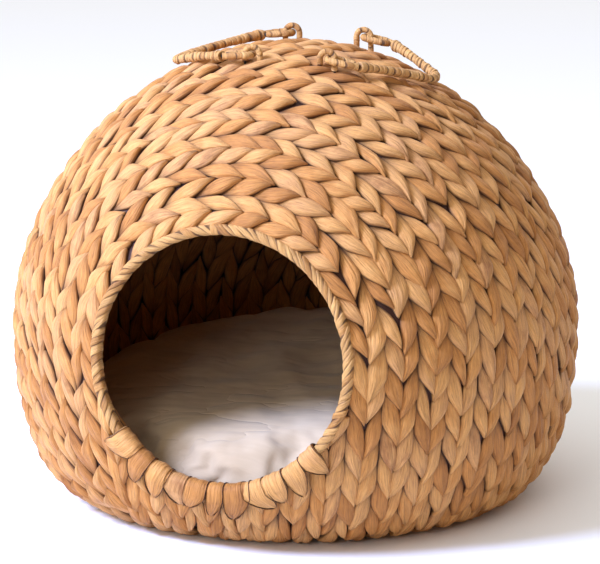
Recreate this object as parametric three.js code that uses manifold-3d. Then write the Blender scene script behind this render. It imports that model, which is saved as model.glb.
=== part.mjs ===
// A round wicker pet bed: a domed cave woven from water hyacinth over a wire frame, with a round
// mouth in front, a loose cushion inside and two wrapped carrying handles hinged on top.
// Millimetres, +Z up. The origin is the middle of the flat underside, on the axis of the round body.
// The mouth faces -Y.

import * as THREE from 'three';
import { mergeVertices } from 'three/addons/utils/BufferGeometryUtils.js';
import Module from 'manifold-3d';

// ---- Driving dimensions -------------------------------------------------------------------------

// Outer shape of the body: a superellipse dome over a rounded lower wall.
const BODY_RADIUS = 250;
const BODY_HEIGHT = 397;
const WAIST_HEIGHT = 152;
const BASE_RADIUS = 176;
const DOME_POWER_OUT = 1.92;
const DOME_POWER_UP = 1.84;
const LOWER_POWER = 2.4;

// Wall build-up, as insets from the outer shape.
const OUTER_WEAVE = 5.5;
const WIRE_INSET = 7.9;
const INNER_WEAVE_START = 10.3;
const INNER_WEAVE_END = 14;
const FRAME_WIRE = 1.4;
const GAP = 0.3;

// The mouth: its axis leaves the weave centre and leans up a little.
const MOUTH_LEAN = THREE.MathUtils.degToRad(6.5);
const MOUTH_DISTANCE = 227.8;
const MOUTH_RADIUS = 101.5;
const RIM_RADIUS = 111.3;
const RIM_PROUD = 2.5;
const RIM_BEHIND = 0.5;
const RIM_CORNER = 1.5;
const RING_WIRE = 1.8;
const RING_DEPTH = -6.5;
const RING_SLACK = 0.4;
const WEAVE_CENTRE_HEIGHT = 136;
const RIM_SEGMENTS = 48;

// The weave: courses are arches round the mouth that run down to the base on both sides.
const COURSES = 22;
const ARCH_STEPS = 16;
const BASE_EDGE = 5;
const ROW_ABOVE_BASE = 16;
const BACK_HALF_TURN = THREE.MathUtils.degToRad(3.4);
const BACK_TOP_STEPS = 4;
const BACK_TOP_ROUND = 0.93;
const APRON_COLUMNS = 8;
const APRON_ROWS = 7;
const APRON_TOP = 0.85;
const APRON_LEAST_FALL = 0.03;
const ROUND_SEGMENTS = 36;
const SHELL_STEPS = 12;

// The wire frame. Turns are in radians.
const HOOP_HEIGHTS = [38, 68, 98];
const HOOP_STEPS = 40;
const HOOP_TO_RIM = 0.03;
const HOOP_SEARCH_STEP = 0.002;
const BASE_HOOP_HEIGHT = 9;
const BACK_ARCH_TURN = Math.PI - THREE.MathUtils.degToRad(14);
const BACK_ARCH_STEPS = 12;
const RIB_PLACES = [2, 4, 6, 8, 10, 12, 14];
const RIB_STEPS = 18;
const RIB_TO_RIM = 0.012;
const RIB_TO_BACK_ARCH = 0.03;
const BASE_BARS = { left: -62, right: 62 };

// The cushion. Each point of its side is a distance in from the widest radius, and a share of the height.
const CUSHION_RADIUS = 213;
const CUSHION_TOP = 100;
const CUSHION_FOOT = 158;
const CUSHION_SIDE = [[17, 0.2], [0, 0.45], [6, 0.75], [38, 0.965]];
const CUSHION_WIDEST = 1;
const CUSHION_TILT = new THREE.Vector2(0.05, 0.118);

// The handles: two bails of wrapped wire, hooked through standing loops on the crown.
const HANDLE_CENTRE = new THREE.Vector2(12.5, -1);
const HINGE_OUT = 33;
const HINGE_HALF_LENGTH = 61.5;
const HINGE_RISE = 0.04;
const HINGE_BELOW_CROWN = { left: 2.8, right: 4.6 };
const HANDLE_REACH = { left: 87.5, right: 79.5 };
const HANDLE_BEND = 20;
const HANDLE_SLOPE = { left: 0.045, right: 0.165 };
const HANDLE_CURVE = 300;
const HANDLE_WIRE = 1.5;
const HANDLE_BINDING = 3.7;
const EYE_HALF_WIDTH = 6.25;
const EYE_SIDE_END = 19;
const EYE_NECK = 27;
const EYE_BINDING = 2.4;
const FREE_END = { beforeNeck: 2.5, insideNeck: 3.5 };
const BARE_NECK = 0.06;
const BARE_END = 0.1;
const LOOP_RADIUS = 6.5;
const LOOP_WIRE = 1.3;
const LOOP_BINDING = 2.5;
const LOOP_BINDING_FOOT = 1;
const BINDING_BORE = 0.35;
const FOOT_HOLE = 1.75;
const FOOT_HOLE_LENGTH = 60;
const WIRE_SIDES = 5;
const BINDING_SIDES = 6;

// ---- Materials ----------------------------------------------------------------------------------

const material = (color, roughness, metalness = 0) =>
  new THREE.MeshStandardMaterial({ color, roughness, metalness });
const hyacinth = () => material('#c8986a', 0.72);
const innerHyacinth = () => material('#8d6240', 0.8);
const boundHyacinth = () => material('#b98a5c', 0.7);
const wire = () => material('#4b4742', 0.45, 0.9);
const cream = () => material('#e9e1d2', 0.9);

const basket = new THREE.Group();

function add(name, geometry, look, parent = basket) {
  const mesh = new THREE.Mesh(geometry, look);
  mesh.name = name;
  parent.add(mesh);
  return mesh;
}

// ---- The outer shape and its insets -------------------------------------------------------------

function isInside(radius, height, inset) {
  if (height >= WAIST_HEIGHT) {
    const out = radius / (BODY_RADIUS - inset);
    const up = (height - WAIST_HEIGHT) / (BODY_HEIGHT - WAIST_HEIGHT - inset);
    return out ** DOME_POWER_OUT + up ** DOME_POWER_UP < 1;
  }
  if (height <= inset) {
    return false;
  }
  const out = Math.max(radius - (BASE_RADIUS - inset), 0) / (BODY_RADIUS - BASE_RADIUS);
  const down = (WAIST_HEIGHT - height) / (WAIST_HEIGHT - inset);
  return out ** LOWER_POWER + down ** LOWER_POWER < 1;
}

const weaveCentre = new THREE.Vector3(0, 0, WEAVE_CENTRE_HEIGHT);

// The last value from near to far where a test still holds, found by halving.
function lastWhere(near, far, holds) {
  for (let i = 0; i < 40; i++) {
    const middle = (near + far) / 2;
    if (holds(middle)) {
      near = middle;
    } else {
      far = middle;
    }
  }
  return near;
}

// Where a ray from the weave centre meets the shape inset by so much.
function wallPoint(direction, inset) {
  const point = new THREE.Vector3();
  lastWhere(0, 2 * BODY_RADIUS, (distance) => {
    point.copy(weaveCentre).addScaledVector(direction, distance);
    return isInside(Math.hypot(point.x, point.y), point.z, inset);
  });
  return point;
}

// The height of the outer shape over a point of the plan.
function crownHeight(x, y) {
  const out = (Math.hypot(x, y) / BODY_RADIUS) ** DOME_POWER_OUT;
  return WAIST_HEIGHT + (BODY_HEIGHT - WAIST_HEIGHT) * (1 - out) ** (1 / DOME_POWER_UP);
}

// ---- Directions of the weave --------------------------------------------------------------------

const across = new THREE.Vector3(1, 0, 0);
const mouthAxis = new THREE.Vector3(0, -Math.cos(MOUTH_LEAN), Math.sin(MOUTH_LEAN));
const leanUp = new THREE.Vector3(0, Math.sin(MOUTH_LEAN), Math.cos(MOUTH_LEAN));
const RIM_TURN = Math.atan(RIM_RADIUS / MOUTH_DISTANCE);

// turn is the angle from the mouth axis; side runs from 0 at the left, over the top, to PI at the right.
function archDirection(turn, side) {
  return mouthAxis.clone().multiplyScalar(Math.cos(turn))
    .addScaledVector(across, -Math.sin(turn) * Math.cos(side))
    .addScaledVector(leanUp, Math.sin(turn) * Math.sin(side));
}

// A direction on a standing column: turn round the leaning upright, fall below its middle plane.
function columnDirection(turn, fall) {
  return mouthAxis.clone().multiplyScalar(Math.cos(turn) * Math.cos(fall))
    .addScaledVector(across, Math.sin(turn) * Math.cos(fall))
    .addScaledVector(leanUp, -Math.sin(fall));
}

const STEEPEST_FALL = 1.2;

// How far a column falls to reach a height on the outer shape.
function fallToHeight(turn, height) {
  return lastWhere(0, STEEPEST_FALL, (fall) => wallPoint(columnDirection(turn, fall), 0).z > height);
}

// The falls of one column's rows, from the base edge up to the middle plane.
function columnFalls(turn, top = 0) {
  const heights = [BASE_EDGE, ROW_ABOVE_BASE, ...HOOP_HEIGHTS];
  const falls = heights.map((height) => fallToHeight(turn, height)).filter((fall) => fall > top);
  falls.push((falls[falls.length - 1] + top) / 2, top);
  return falls;
}

// ---- Solid builders -----------------------------------------------------------------------------

function solidFrom(points, faces) {
  const geometry = new THREE.BufferGeometry();
  const corners = faces.flatMap((face) => face.map((index) => points[index]));
  const numbers = corners.flatMap((corner) => corner.toArray());
  geometry.setAttribute('position', new THREE.Float32BufferAttribute(numbers, 3));
  geometry.computeVertexNormals();
  return geometry;
}

// A patch of the wall between two insets. place(row, column, inset) gives a point; rows run up the
// patch, and columns run to the right as seen from outside.
function wallPatch(rows, columns, place, outerInset, innerInset) {
  const points = [];
  const at = (row, column, layer) => (row * (columns + 1) + column) * 2 + layer;
  for (let row = 0; row <= rows; row++) {
    for (let column = 0; column <= columns; column++) {
      points.push(place(row, column, outerInset), place(row, column, innerInset));
    }
  }
  const faces = [];
  const quad = (a, b, c, d) => faces.push([a, b, c], [a, c, d]);
  for (let row = 0; row < rows; row++) {
    for (let column = 0; column < columns; column++) {
      quad(at(row, column, 0), at(row, column + 1, 0), at(row + 1, column + 1, 0), at(row + 1, column, 0));
      quad(at(row, column, 1), at(row + 1, column, 1), at(row + 1, column + 1, 1), at(row, column + 1, 1));
    }
  }
  for (let row = 0; row < rows; row++) {
    quad(at(row, 0, 0), at(row + 1, 0, 0), at(row + 1, 0, 1), at(row, 0, 1));
    quad(at(row, columns, 0), at(row, columns, 1), at(row + 1, columns, 1), at(row + 1, columns, 0));
  }
  for (let column = 0; column < columns; column++) {
    quad(at(0, column, 0), at(0, column, 1), at(0, column + 1, 1), at(0, column + 1, 0));
    quad(at(rows, column, 0), at(rows, column + 1, 0), at(rows, column + 1, 1), at(rows, column, 1));
  }
  return solidFrom(points, faces);
}

// A round tube along a curve, with a bore if bore is given.
function tube(curve, radius, sides, bore = 0) {
  const section = new THREE.Shape();
  const ring = (path, r) => {
    for (let i = 0; i < sides; i++) {
      const angle = (i * 2 * Math.PI) / sides;
      const x = r * Math.cos(angle);
      const y = r * Math.sin(angle);
      if (i === 0) {
        path.moveTo(x, y);
      } else {
        path.lineTo(x, y);
      }
    }
    path.closePath();
  };
  ring(section, radius);
  if (bore > 0) {
    const hole = new THREE.Path();
    ring(hole, bore);
    section.holes.push(hole);
  }
  return new THREE.ExtrudeGeometry(section, {
    extrudePath: curve,
    steps: curve.steps,
    bevelEnabled: false,
  });
}

// A curve given by a function, which is sampled evenly in its own parameter in so many steps.
class PointCurve extends THREE.Curve {
  constructor(place, steps = 1) {
    super();
    this.place = place;
    this.steps = steps;
  }

  getPoint(t) {
    return this.place(t);
  }

  getPointAt(t) {
    return this.place(t);
  }

  getTangentAt(t) {
    return this.getTangent(t);
  }
}

// Pieces end to end as one curve, in as many steps as they have together.
function chained(pieces, lay = (point) => point) {
  const total = pieces.reduce((sum, piece) => sum + piece.steps, 0);
  return new PointCurve((t) => {
    let rest = t * total;
    let index = 0;
    while (index < pieces.length - 1 && rest > pieces[index].steps) {
      rest -= pieces[index].steps;
      index += 1;
    }
    return lay(pieces[index].getPoint(Math.min(rest / pieces[index].steps, 1)));
  }, total);
}

// A closed ring of round wire in a plane, round an axis through its centre.
function wireRing(radius, thickness, segments) {
  const section = [];
  for (let i = 0; i <= WIRE_SIDES; i++) {
    const angle = (i * 2 * Math.PI) / WIRE_SIDES;
    section.push(new THREE.Vector2(radius + thickness * Math.cos(angle), thickness * Math.sin(angle)));
  }
  return new THREE.LatheGeometry(section, segments);
}

// ---- Boolean cuts -------------------------------------------------------------------------------

const wasm = await Module();
wasm.setup();

function toManifold(geometry) {
  const plain = geometry.clone();
  plain.deleteAttribute('normal');
  plain.deleteAttribute('uv');
  const merged = mergeVertices(plain, 1e-3);
  return new wasm.Manifold(new wasm.Mesh({
    numProp: 3,
    vertProperties: new Float32Array(merged.attributes.position.array),
    triVerts: new Uint32Array(merged.index.array),
  }));
}

function fromManifold(manifold) {
  const mesh = manifold.getMesh();
  const geometry = new THREE.BufferGeometry();
  geometry.setAttribute('position', new THREE.Float32BufferAttribute(mesh.vertProperties, 3));
  geometry.setIndex(Array.from(mesh.triVerts));
  return geometry.toNonIndexed();
}

function cut(geometry, cutters) {
  let manifold = toManifold(geometry);
  for (const cutter of cutters) {
    manifold = manifold.subtract(toManifold(cutter));
  }
  const result = fromManifold(manifold);
  result.computeVertexNormals();
  return result;
}

// A lathe turned about +Y stands up along a direction, with its origin at a point.
function aimed(geometry, direction, origin) {
  const turn = new THREE.Quaternion().setFromUnitVectors(new THREE.Vector3(0, 1, 0), direction);
  return geometry.applyQuaternion(turn).translate(origin.x, origin.y, origin.z);
}

function standing(profile, segments) {
  return new THREE.LatheGeometry(profile, segments).rotateX(Math.PI / 2);
}

// ---- Handle frame: out from the middle of the crown, along the hinge, and up ---------------------

const sideWay = { left: -1, right: 1 };

function handlePoint(side, out, along, drop = 0) {
  const top = BODY_HEIGHT - HINGE_BELOW_CROWN[side] + HINGE_RISE * along;
  const x = HANDLE_CENTRE.x + sideWay[side] * (HINGE_OUT + out);
  return new THREE.Vector3(x, HANDLE_CENTRE.y + along, top - drop);
}

const bailDrop = (side, out) => HANDLE_SLOPE[side] * out + out ** 2 / (2 * HANDLE_CURVE);

// The plan of the bail in (out, along): its corners from one eye's free end to the other's.
function bailPlan(side) {
  const bendCentre = new THREE.Vector2(HANDLE_REACH[side] - HANDLE_BEND, 0);
  const neck = new THREE.Vector2(EYE_NECK, HINGE_HALF_LENGTH);
  const toBend = bendCentre.clone().sub(neck);
  const slant = Math.atan2(-toBend.y, toBend.x) - Math.asin(HANDLE_BEND / toBend.length());
  const touch = bendCentre.clone().add(
    new THREE.Vector2(Math.sin(slant), Math.cos(slant)).multiplyScalar(HANDLE_BEND));
  const legs = (mirror) => {
    const v = (out, along) => new THREE.Vector2(out, mirror * along);
    return {
      freeEnd: v(EYE_NECK - FREE_END.beforeNeck, HINGE_HALF_LENGTH - FREE_END.insideNeck),
      insideTurn: v(EYE_SIDE_END, HINGE_HALF_LENGTH - EYE_HALF_WIDTH),
      insideEnd: v(EYE_HALF_WIDTH, HINGE_HALF_LENGTH - EYE_HALF_WIDTH),
      outsideEnd: v(EYE_HALF_WIDTH, HINGE_HALF_LENGTH + EYE_HALF_WIDTH),
      outsideTurn: v(EYE_SIDE_END, HINGE_HALF_LENGTH + EYE_HALF_WIDTH),
      neck: v(EYE_NECK, HINGE_HALF_LENGTH),
      touch: v(touch.x, touch.y),
      centre: v(EYE_HALF_WIDTH, HINGE_HALF_LENGTH),
    };
  };
  return { back: legs(1), front: legs(-1), bendCentre, slant };
}

function line(from, to, steps = 1) {
  return new PointCurve((t) => from.clone().lerp(to, t), steps);
}

function planArc(centre, radius, start, end, steps) {
  return new PointCurve((t) => {
    const angle = start + (end - start) * t;
    return new THREE.Vector2(centre.x + radius * Math.cos(angle), centre.y + radius * Math.sin(angle));
  }, steps);
}

// Pieces of the plan, joined and laid on the crown as one curve.
function laid(side, pieces) {
  return chained(pieces, (flat) => handlePoint(side, flat.x, flat.y, bailDrop(side, flat.x)));
}

function eyePieces(leg, mirror) {
  return [
    line(leg.freeEnd, leg.insideTurn),
    line(leg.insideTurn, leg.insideEnd),
    planArc(leg.centre, EYE_HALF_WIDTH, mirror * -Math.PI / 2, mirror * -Math.PI * 1.5, 6),
    line(leg.outsideEnd, leg.outsideTurn),
    line(leg.outsideTurn, leg.neck),
  ];
}

const reversed = (pieces) => pieces.slice().reverse()
  .map((piece) => new PointCurve((t) => piece.getPoint(1 - t), piece.steps));

function buildHandle(side) {
  const plan = bailPlan(side);
  const backEye = eyePieces(plan.back, 1);
  const frontEye = eyePieces(plan.front, -1);
  const bendStart = Math.PI / 2 - plan.slant;
  const bail = [
    line(plan.back.neck, plan.back.touch, 3),
    planArc(plan.bendCentre, HANDLE_BEND, bendStart, -bendStart, 8),
    line(plan.front.touch, plan.front.neck, 3),
  ];
  const wholeWire = laid(side, [...backEye, ...bail, ...reversed(frontEye)]);
  add(`${side}_handle_wire`, tube(wholeWire, HANDLE_WIRE, WIRE_SIDES), wire());
  const bound = [
    line(bail[0].getPoint(BARE_NECK), plan.back.touch, 3),
    bail[1],
    line(plan.front.touch, bail[2].getPoint(1 - BARE_NECK), 3),
  ];
  const bore = HANDLE_WIRE + BINDING_BORE;
  const binding = tube(laid(side, bound), HANDLE_BINDING, BINDING_SIDES, bore);
  add(`${side}_handle_binding`, binding, boundHyacinth());
  for (const [end, eye] of [['back', backEye], ['front', frontEye]]) {
    const boundEye = [line(eye[0].getPoint(BARE_END), eye[0].getPoint(1)), ...eye.slice(1)];
    const cover = tube(laid(side, boundEye), EYE_BINDING, BINDING_SIDES, bore);
    add(`${side}_handle_${end}_eye`, cover, boundHyacinth());
  }
}

// A standing loop: an arch across the hinge whose two feet go down into the wall.
function buildLoop(side, end, along) {
  const hinge = handlePoint(side, 0, along);
  const outward = new THREE.Vector3(1, 0, 0);
  const feet = [-1, 1].map((way) => hinge.clone().addScaledVector(outward, way * LOOP_RADIUS));
  const surface = feet.map((foot) => crownHeight(foot.x, foot.y));
  const arch = (bottoms) => chained([
    line(feet[0].clone().setZ(bottoms[0]), feet[0]),
    new PointCurve((t) => hinge.clone().addScaledVector(outward, -LOOP_RADIUS * Math.cos(Math.PI * t))
      .add(new THREE.Vector3(0, 0, LOOP_RADIUS * Math.sin(Math.PI * t))), 8),
    line(feet[1], feet[1].clone().setZ(bottoms[1])),
  ]);
  const wireArch = arch(surface.map((z) => z - WIRE_INSET));
  add(`${side}_${end}_loop_wire`, tube(wireArch, LOOP_WIRE, WIRE_SIDES), wire());
  const bore = LOOP_WIRE + BINDING_BORE;
  const boundArch = arch(surface.map((z) => z + LOOP_BINDING_FOOT));
  const cover = tube(boundArch, LOOP_BINDING, BINDING_SIDES, bore);
  add(`${side}_${end}_loop_binding`, cover, boundHyacinth());
  return feet;
}

// ---- Build: handles and loops -------------------------------------------------------------------

const feet = [];
for (const side of ['left', 'right']) {
  buildHandle(side);
  feet.push(...buildLoop(side, 'back', HINGE_HALF_LENGTH));
  feet.push(...buildLoop(side, 'front', -HINGE_HALF_LENGTH));
}
const footHoles = feet.map((foot) => {
  const hole = new THREE.CylinderGeometry(FOOT_HOLE, FOOT_HOLE, FOOT_HOLE_LENGTH, BINDING_SIDES);
  hole.rotateX(Math.PI / 2);
  return hole.translate(foot.x, foot.y, crownHeight(foot.x, foot.y));
});

// ---- Build: the woven wall ----------------------------------------------------------------------

const COURSE_TURN = (Math.PI - BACK_HALF_TURN - RIM_TURN) / COURSES;
const GAP_TURN = GAP / BODY_RADIUS;

// The directions along one edge of a course, from its left foot over the top to its right foot.
function courseEdge(turn) {
  const falls = columnFalls(turn);
  const left = falls.slice(0, -1).map((fall) => columnDirection(-turn, fall));
  const over = [];
  for (let step = 0; step <= ARCH_STEPS; step++) {
    over.push(archDirection(turn, (step * Math.PI) / ARCH_STEPS));
  }
  const right = falls.slice(0, -1).reverse().map((fall) => columnDirection(turn, fall));
  return [...left, ...over, ...right];
}

for (let course = 0; course < COURSES; course++) {
  const start = RIM_TURN + course * COURSE_TURN + GAP_TURN / 2;
  const end = RIM_TURN + (course + 1) * COURSE_TURN - GAP_TURN / 2;
  const edges = [courseEdge(end), courseEdge(start)];
  const place = (row, column, inset) => wallPoint(edges[column][row], inset);
  const band = wallPatch(edges[0].length - 1, 1, place, 0, OUTER_WEAVE);
  const name = `weft_course_${String(course + 1).padStart(2, '0')}`;
  const box = new THREE.Box3().setFromBufferAttribute(band.attributes.position);
  const holes = footHoles.filter((hole) => {
    hole.computeBoundingBox();
    return hole.boundingBox.intersectsBox(box);
  });
  add(name, holes.length > 0 ? cut(band, holes) : band, hyacinth());
}

// The hole that the mouth leaves in the weave, as a cone from the weave centre. It starts inside the
// wall and ends outside it, at these shares of the mouth's distance.
const CONE_START = 0.5;
const CONE_END = 1.3;
const mouthHole = aimed(new THREE.LatheGeometry([
  new THREE.Vector2(0, CONE_START * MOUTH_DISTANCE),
  new THREE.Vector2(CONE_START * RIM_RADIUS, CONE_START * MOUTH_DISTANCE),
  new THREE.Vector2(CONE_END * RIM_RADIUS, CONE_END * MOUTH_DISTANCE),
  new THREE.Vector2(0, CONE_END * MOUTH_DISTANCE),
], RIM_SEGMENTS), mouthAxis, weaveCentre);

// The short columns under the mouth, woven as one apron between the base and the rim. Its top edge
// runs past the rim, and the mouth's cone trims it.
const apronTurn = RIM_TURN - GAP_TURN / 2;
const apron = wallPatch(APRON_ROWS, APRON_COLUMNS, (row, column, inset) => {
  const turn = apronTurn * ((2 * column) / APRON_COLUMNS - 1);
  const rimFall = Math.acos(Math.cos(RIM_TURN) / Math.cos(turn));
  const top = Math.max(APRON_TOP * rimFall, APRON_LEAST_FALL);
  const hoopFall = fallToHeight(turn, HOOP_HEIGHTS[0]);
  const falls = [fallToHeight(turn, BASE_EDGE), fallToHeight(turn, ROW_ABOVE_BASE), hoopFall];
  const fall = falls[row] ?? top + ((hoopFall - top) * (APRON_ROWS - row)) / (APRON_ROWS - 2);
  return wallPoint(columnDirection(turn, fall), inset);
}, 0, OUTER_WEAVE);
add('front_apron_weave', cut(apron, [mouthHole]), hyacinth());

// The last column up the middle of the back, closed by a round top.
const backHalf = BACK_HALF_TURN - GAP_TURN / 2;
const backFalls = columnFalls(Math.PI);
const backColumn = wallPatch(backFalls.length - 1 + BACK_TOP_STEPS, 2, (row, column, inset) => {
  const way = 1 - column;
  if (row < backFalls.length) {
    return wallPoint(columnDirection(Math.PI - way * backHalf, backFalls[row]), inset);
  }
  const side = ((row - backFalls.length + 1) / BACK_TOP_STEPS) * (Math.PI / 2) * BACK_TOP_ROUND;
  const sideways = way * backHalf * Math.cos(side);
  const upward = backHalf * Math.sin(side);
  const reach = Math.hypot(sideways, upward);
  const direction = mouthAxis.clone().multiplyScalar(-Math.cos(reach))
    .addScaledVector(across, (Math.sin(reach) * sideways) / reach)
    .addScaledVector(leanUp, (Math.sin(reach) * upward) / reach);
  return wallPoint(direction, inset);
}, 0, OUTER_WEAVE);
add('back_column_weave', backColumn, hyacinth());

// ---- Build: lining and floor --------------------------------------------------------------------

// A point of the wall's upright section, as (radius, height), at an elevation from the weave centre.
function sectionPoint(elevation, inset) {
  const point = wallPoint(new THREE.Vector3(Math.cos(elevation), 0, Math.sin(elevation)), inset);
  return new THREE.Vector2(point.x, point.z);
}

function elevationAt(height) {
  return -lastWhere(0, STEEPEST_FALL, (fall) => sectionPoint(-fall, 0).y > height);
}

const floorEdge = elevationAt(BASE_EDGE - GAP);
const flatEdge = -Math.atan2(WEAVE_CENTRE_HEIGHT, BASE_RADIUS);

// The underside is a flat disc with a rounded edge that turns up to meet the wall.
const floorTurns = [0, 0.5, 1].map((part) => flatEdge + (floorEdge - flatEdge) * part);
add('floor_weave', standing([
  new THREE.Vector2(0, 0),
  ...floorTurns.map((turn) => sectionPoint(turn, 0)),
  ...floorTurns.map((turn) => sectionPoint(turn, OUTER_WEAVE)).reverse(),
  new THREE.Vector2(0, OUTER_WEAVE),
], ROUND_SEGMENTS), hyacinth());

// The lining is a flat disc under the cushion and a shell that rises from its edge.
const shellEdge = -Math.atan2(WEAVE_CENTRE_HEIGHT - INNER_WEAVE_END, BASE_RADIUS - INNER_WEAVE_END);
const discEdge = sectionPoint(shellEdge, INNER_WEAVE_END).x - GAP;
add('floor_lining', standing([
  new THREE.Vector2(0, INNER_WEAVE_START),
  new THREE.Vector2(discEdge, INNER_WEAVE_START),
  new THREE.Vector2(discEdge, INNER_WEAVE_END),
  new THREE.Vector2(0, INNER_WEAVE_END),
], ROUND_SEGMENTS), innerHyacinth());

const shellTurn = (step) => shellEdge + ((Math.PI / 2 - shellEdge) * step) / SHELL_STEPS;
const shellProfile = [];
for (let step = 0; step <= SHELL_STEPS; step++) {
  shellProfile.push(sectionPoint(shellTurn(step), INNER_WEAVE_START));
}
for (let step = SHELL_STEPS; step >= 0; step--) {
  shellProfile.push(sectionPoint(shellTurn(step), INNER_WEAVE_END));
}
shellProfile[SHELL_STEPS].x = 0;
shellProfile[SHELL_STEPS + 1].x = 0;
shellProfile.push(shellProfile[0].clone());
add('inner_weave', cut(standing(shellProfile, ROUND_SEGMENTS), [mouthHole]), innerHyacinth());

// ---- Build: the mouth rim -----------------------------------------------------------------------

// The bound rim is a ring with a channel, open towards the wall, that holds the wire.
const wallEdge = (depth) => (RIM_RADIUS * (MOUTH_DISTANCE + depth)) / MOUTH_DISTANCE - 1.3 * GAP;
const ringRadius = wallEdge(RING_DEPTH) - RING_WIRE - RING_SLACK;
const channel = RING_WIRE + GAP;
const rimBack = -INNER_WEAVE_END - RIM_BEHIND;
const rimProfile = [
  new THREE.Vector2(MOUTH_RADIUS, -RIM_CORNER),
  new THREE.Vector2(MOUTH_RADIUS, rimBack + RIM_CORNER),
  new THREE.Vector2(MOUTH_RADIUS + RIM_CORNER, rimBack),
  new THREE.Vector2(wallEdge(-INNER_WEAVE_END), rimBack),
  new THREE.Vector2(wallEdge(RING_DEPTH - channel), RING_DEPTH - channel),
  new THREE.Vector2(ringRadius - channel, RING_DEPTH - channel),
  new THREE.Vector2(ringRadius - channel, RING_DEPTH + channel),
  new THREE.Vector2(wallEdge(RING_DEPTH + channel), RING_DEPTH + channel),
  new THREE.Vector2(wallEdge(0), RIM_BEHIND),
  new THREE.Vector2(wallEdge(0) - RIM_CORNER, RIM_PROUD),
  new THREE.Vector2(MOUTH_RADIUS + RIM_PROUD, RIM_PROUD),
  new THREE.Vector2(MOUTH_RADIUS, -RIM_CORNER),
];
const mouthCentre = weaveCentre.clone().addScaledVector(mouthAxis, MOUTH_DISTANCE);
const rim = new THREE.LatheGeometry(rimProfile, RIM_SEGMENTS);
add('mouth_binding', aimed(rim, mouthAxis, mouthCentre), boundHyacinth());
const ringCentre = mouthCentre.clone().addScaledVector(mouthAxis, RING_DEPTH);
const ring = wireRing(ringRadius, RING_WIRE, RIM_SEGMENTS);
add('mouth_ring', aimed(ring, mouthAxis, ringCentre), wire());

// ---- Build: the wire frame ----------------------------------------------------------------------

// A level hoop that follows the wall at the height of a row; it stops each side of the mouth.
function hoopAt(height) {
  const centreLine = sectionPoint(elevationAt(height), WIRE_INSET);
  const mouthEnd = RIM_TURN + HOOP_TO_RIM;
  let stop = 0;
  const hoopPoint = (turn) => {
    return new THREE.Vector3(centreLine.x * Math.sin(turn), -centreLine.x * Math.cos(turn), centreLine.y);
  };
  for (let turn = 0; turn < Math.PI; turn += HOOP_SEARCH_STEP) {
    if (hoopPoint(turn).sub(weaveCentre).angleTo(mouthAxis) < mouthEnd) {
      stop = turn;
    }
  }
  if (stop === 0) {
    const whole = wireRing(centreLine.x, FRAME_WIRE, HOOP_STEPS);
    return whole.rotateX(Math.PI / 2).translate(0, 0, centreLine.y);
  }
  const curve = new PointCurve((t) => hoopPoint(stop + (2 * Math.PI - 2 * stop) * t), HOOP_STEPS);
  return tube(curve, FRAME_WIRE, WIRE_SIDES);
}

['lower', 'middle', 'upper'].forEach((name, index) => {
  add(`${name}_hoop`, hoopAt(HOOP_HEIGHTS[index]), wire());
});
add('base_hoop', hoopAt(BASE_HOOP_HEIGHT), wire());

for (const [name, x] of Object.entries(BASE_BARS)) {
  const half = Math.sqrt((BASE_RADIUS - WIRE_INSET) ** 2 - x ** 2);
  const bar = new THREE.CylinderGeometry(FRAME_WIRE, FRAME_WIRE, 2 * half, WIRE_SIDES + 1);
  add(`base_bar_${name}`, bar.translate(x, 0, WIRE_INSET), wire());
}

const backArch = new PointCurve((t) => {
  return wallPoint(archDirection(BACK_ARCH_TURN, Math.PI * t), WIRE_INSET);
}, BACK_ARCH_STEPS);
add('back_arch', tube(backArch, FRAME_WIRE, WIRE_SIDES), wire());

// The ribs run from the rim over the dome to the back arch, each at one step of the courses.
const ribStart = RIM_TURN + RIB_TO_RIM;
const ribEnd = BACK_ARCH_TURN - RIB_TO_BACK_ARCH;
RIB_PLACES.forEach((step, index) => {
  const side = (step * Math.PI) / ARCH_STEPS;
  const rib = new PointCurve((t) => {
    return wallPoint(archDirection(ribStart + (ribEnd - ribStart) * t, side), WIRE_INSET);
  }, RIB_STEPS);
  add(`rib_${index + 1}`, tube(rib, FRAME_WIRE, WIRE_SIDES), wire());
});

// ---- Build: the cushion -------------------------------------------------------------------------

const cushionFoot = INNER_WEAVE_END + GAP;
const cushionProfile = [
  new THREE.Vector2(0, cushionFoot),
  new THREE.Vector2(CUSHION_FOOT, cushionFoot),
  ...CUSHION_SIDE.map(([inward, share]) => {
    return new THREE.Vector2(CUSHION_RADIUS - inward, cushionFoot + share * (CUSHION_TOP - cushionFoot));
  }),
  new THREE.Vector2(0, CUSHION_TOP),
];

// Its top leans: it rises towards the back and a little towards +X, from the widest ring up.
const cushionGeometry = standing(cushionProfile, ROUND_SEGMENTS);
const cushionPoints = cushionGeometry.attributes.position;
const widestHeight = cushionFoot + CUSHION_SIDE[CUSHION_WIDEST][1] * (CUSHION_TOP - cushionFoot);
for (let index = 0; index < cushionPoints.count; index += 1) {
  const plan = new THREE.Vector2(cushionPoints.getX(index), cushionPoints.getY(index));
  const height = cushionPoints.getZ(index);
  const share = Math.max(0, (height - widestHeight) / (CUSHION_TOP - widestHeight));
  cushionPoints.setZ(index, height + share * CUSHION_TILT.dot(plan));
}
add('cushion', cushionGeometry, cream());

export default basket;
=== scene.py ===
"""Looks of the domed wicker pet bed: plaited hyacinth leaf, bound rim and handles, and a cushion.

Shapes are worked out in millimetres and turned into metres as each mesh is made.
"""

import math

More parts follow.
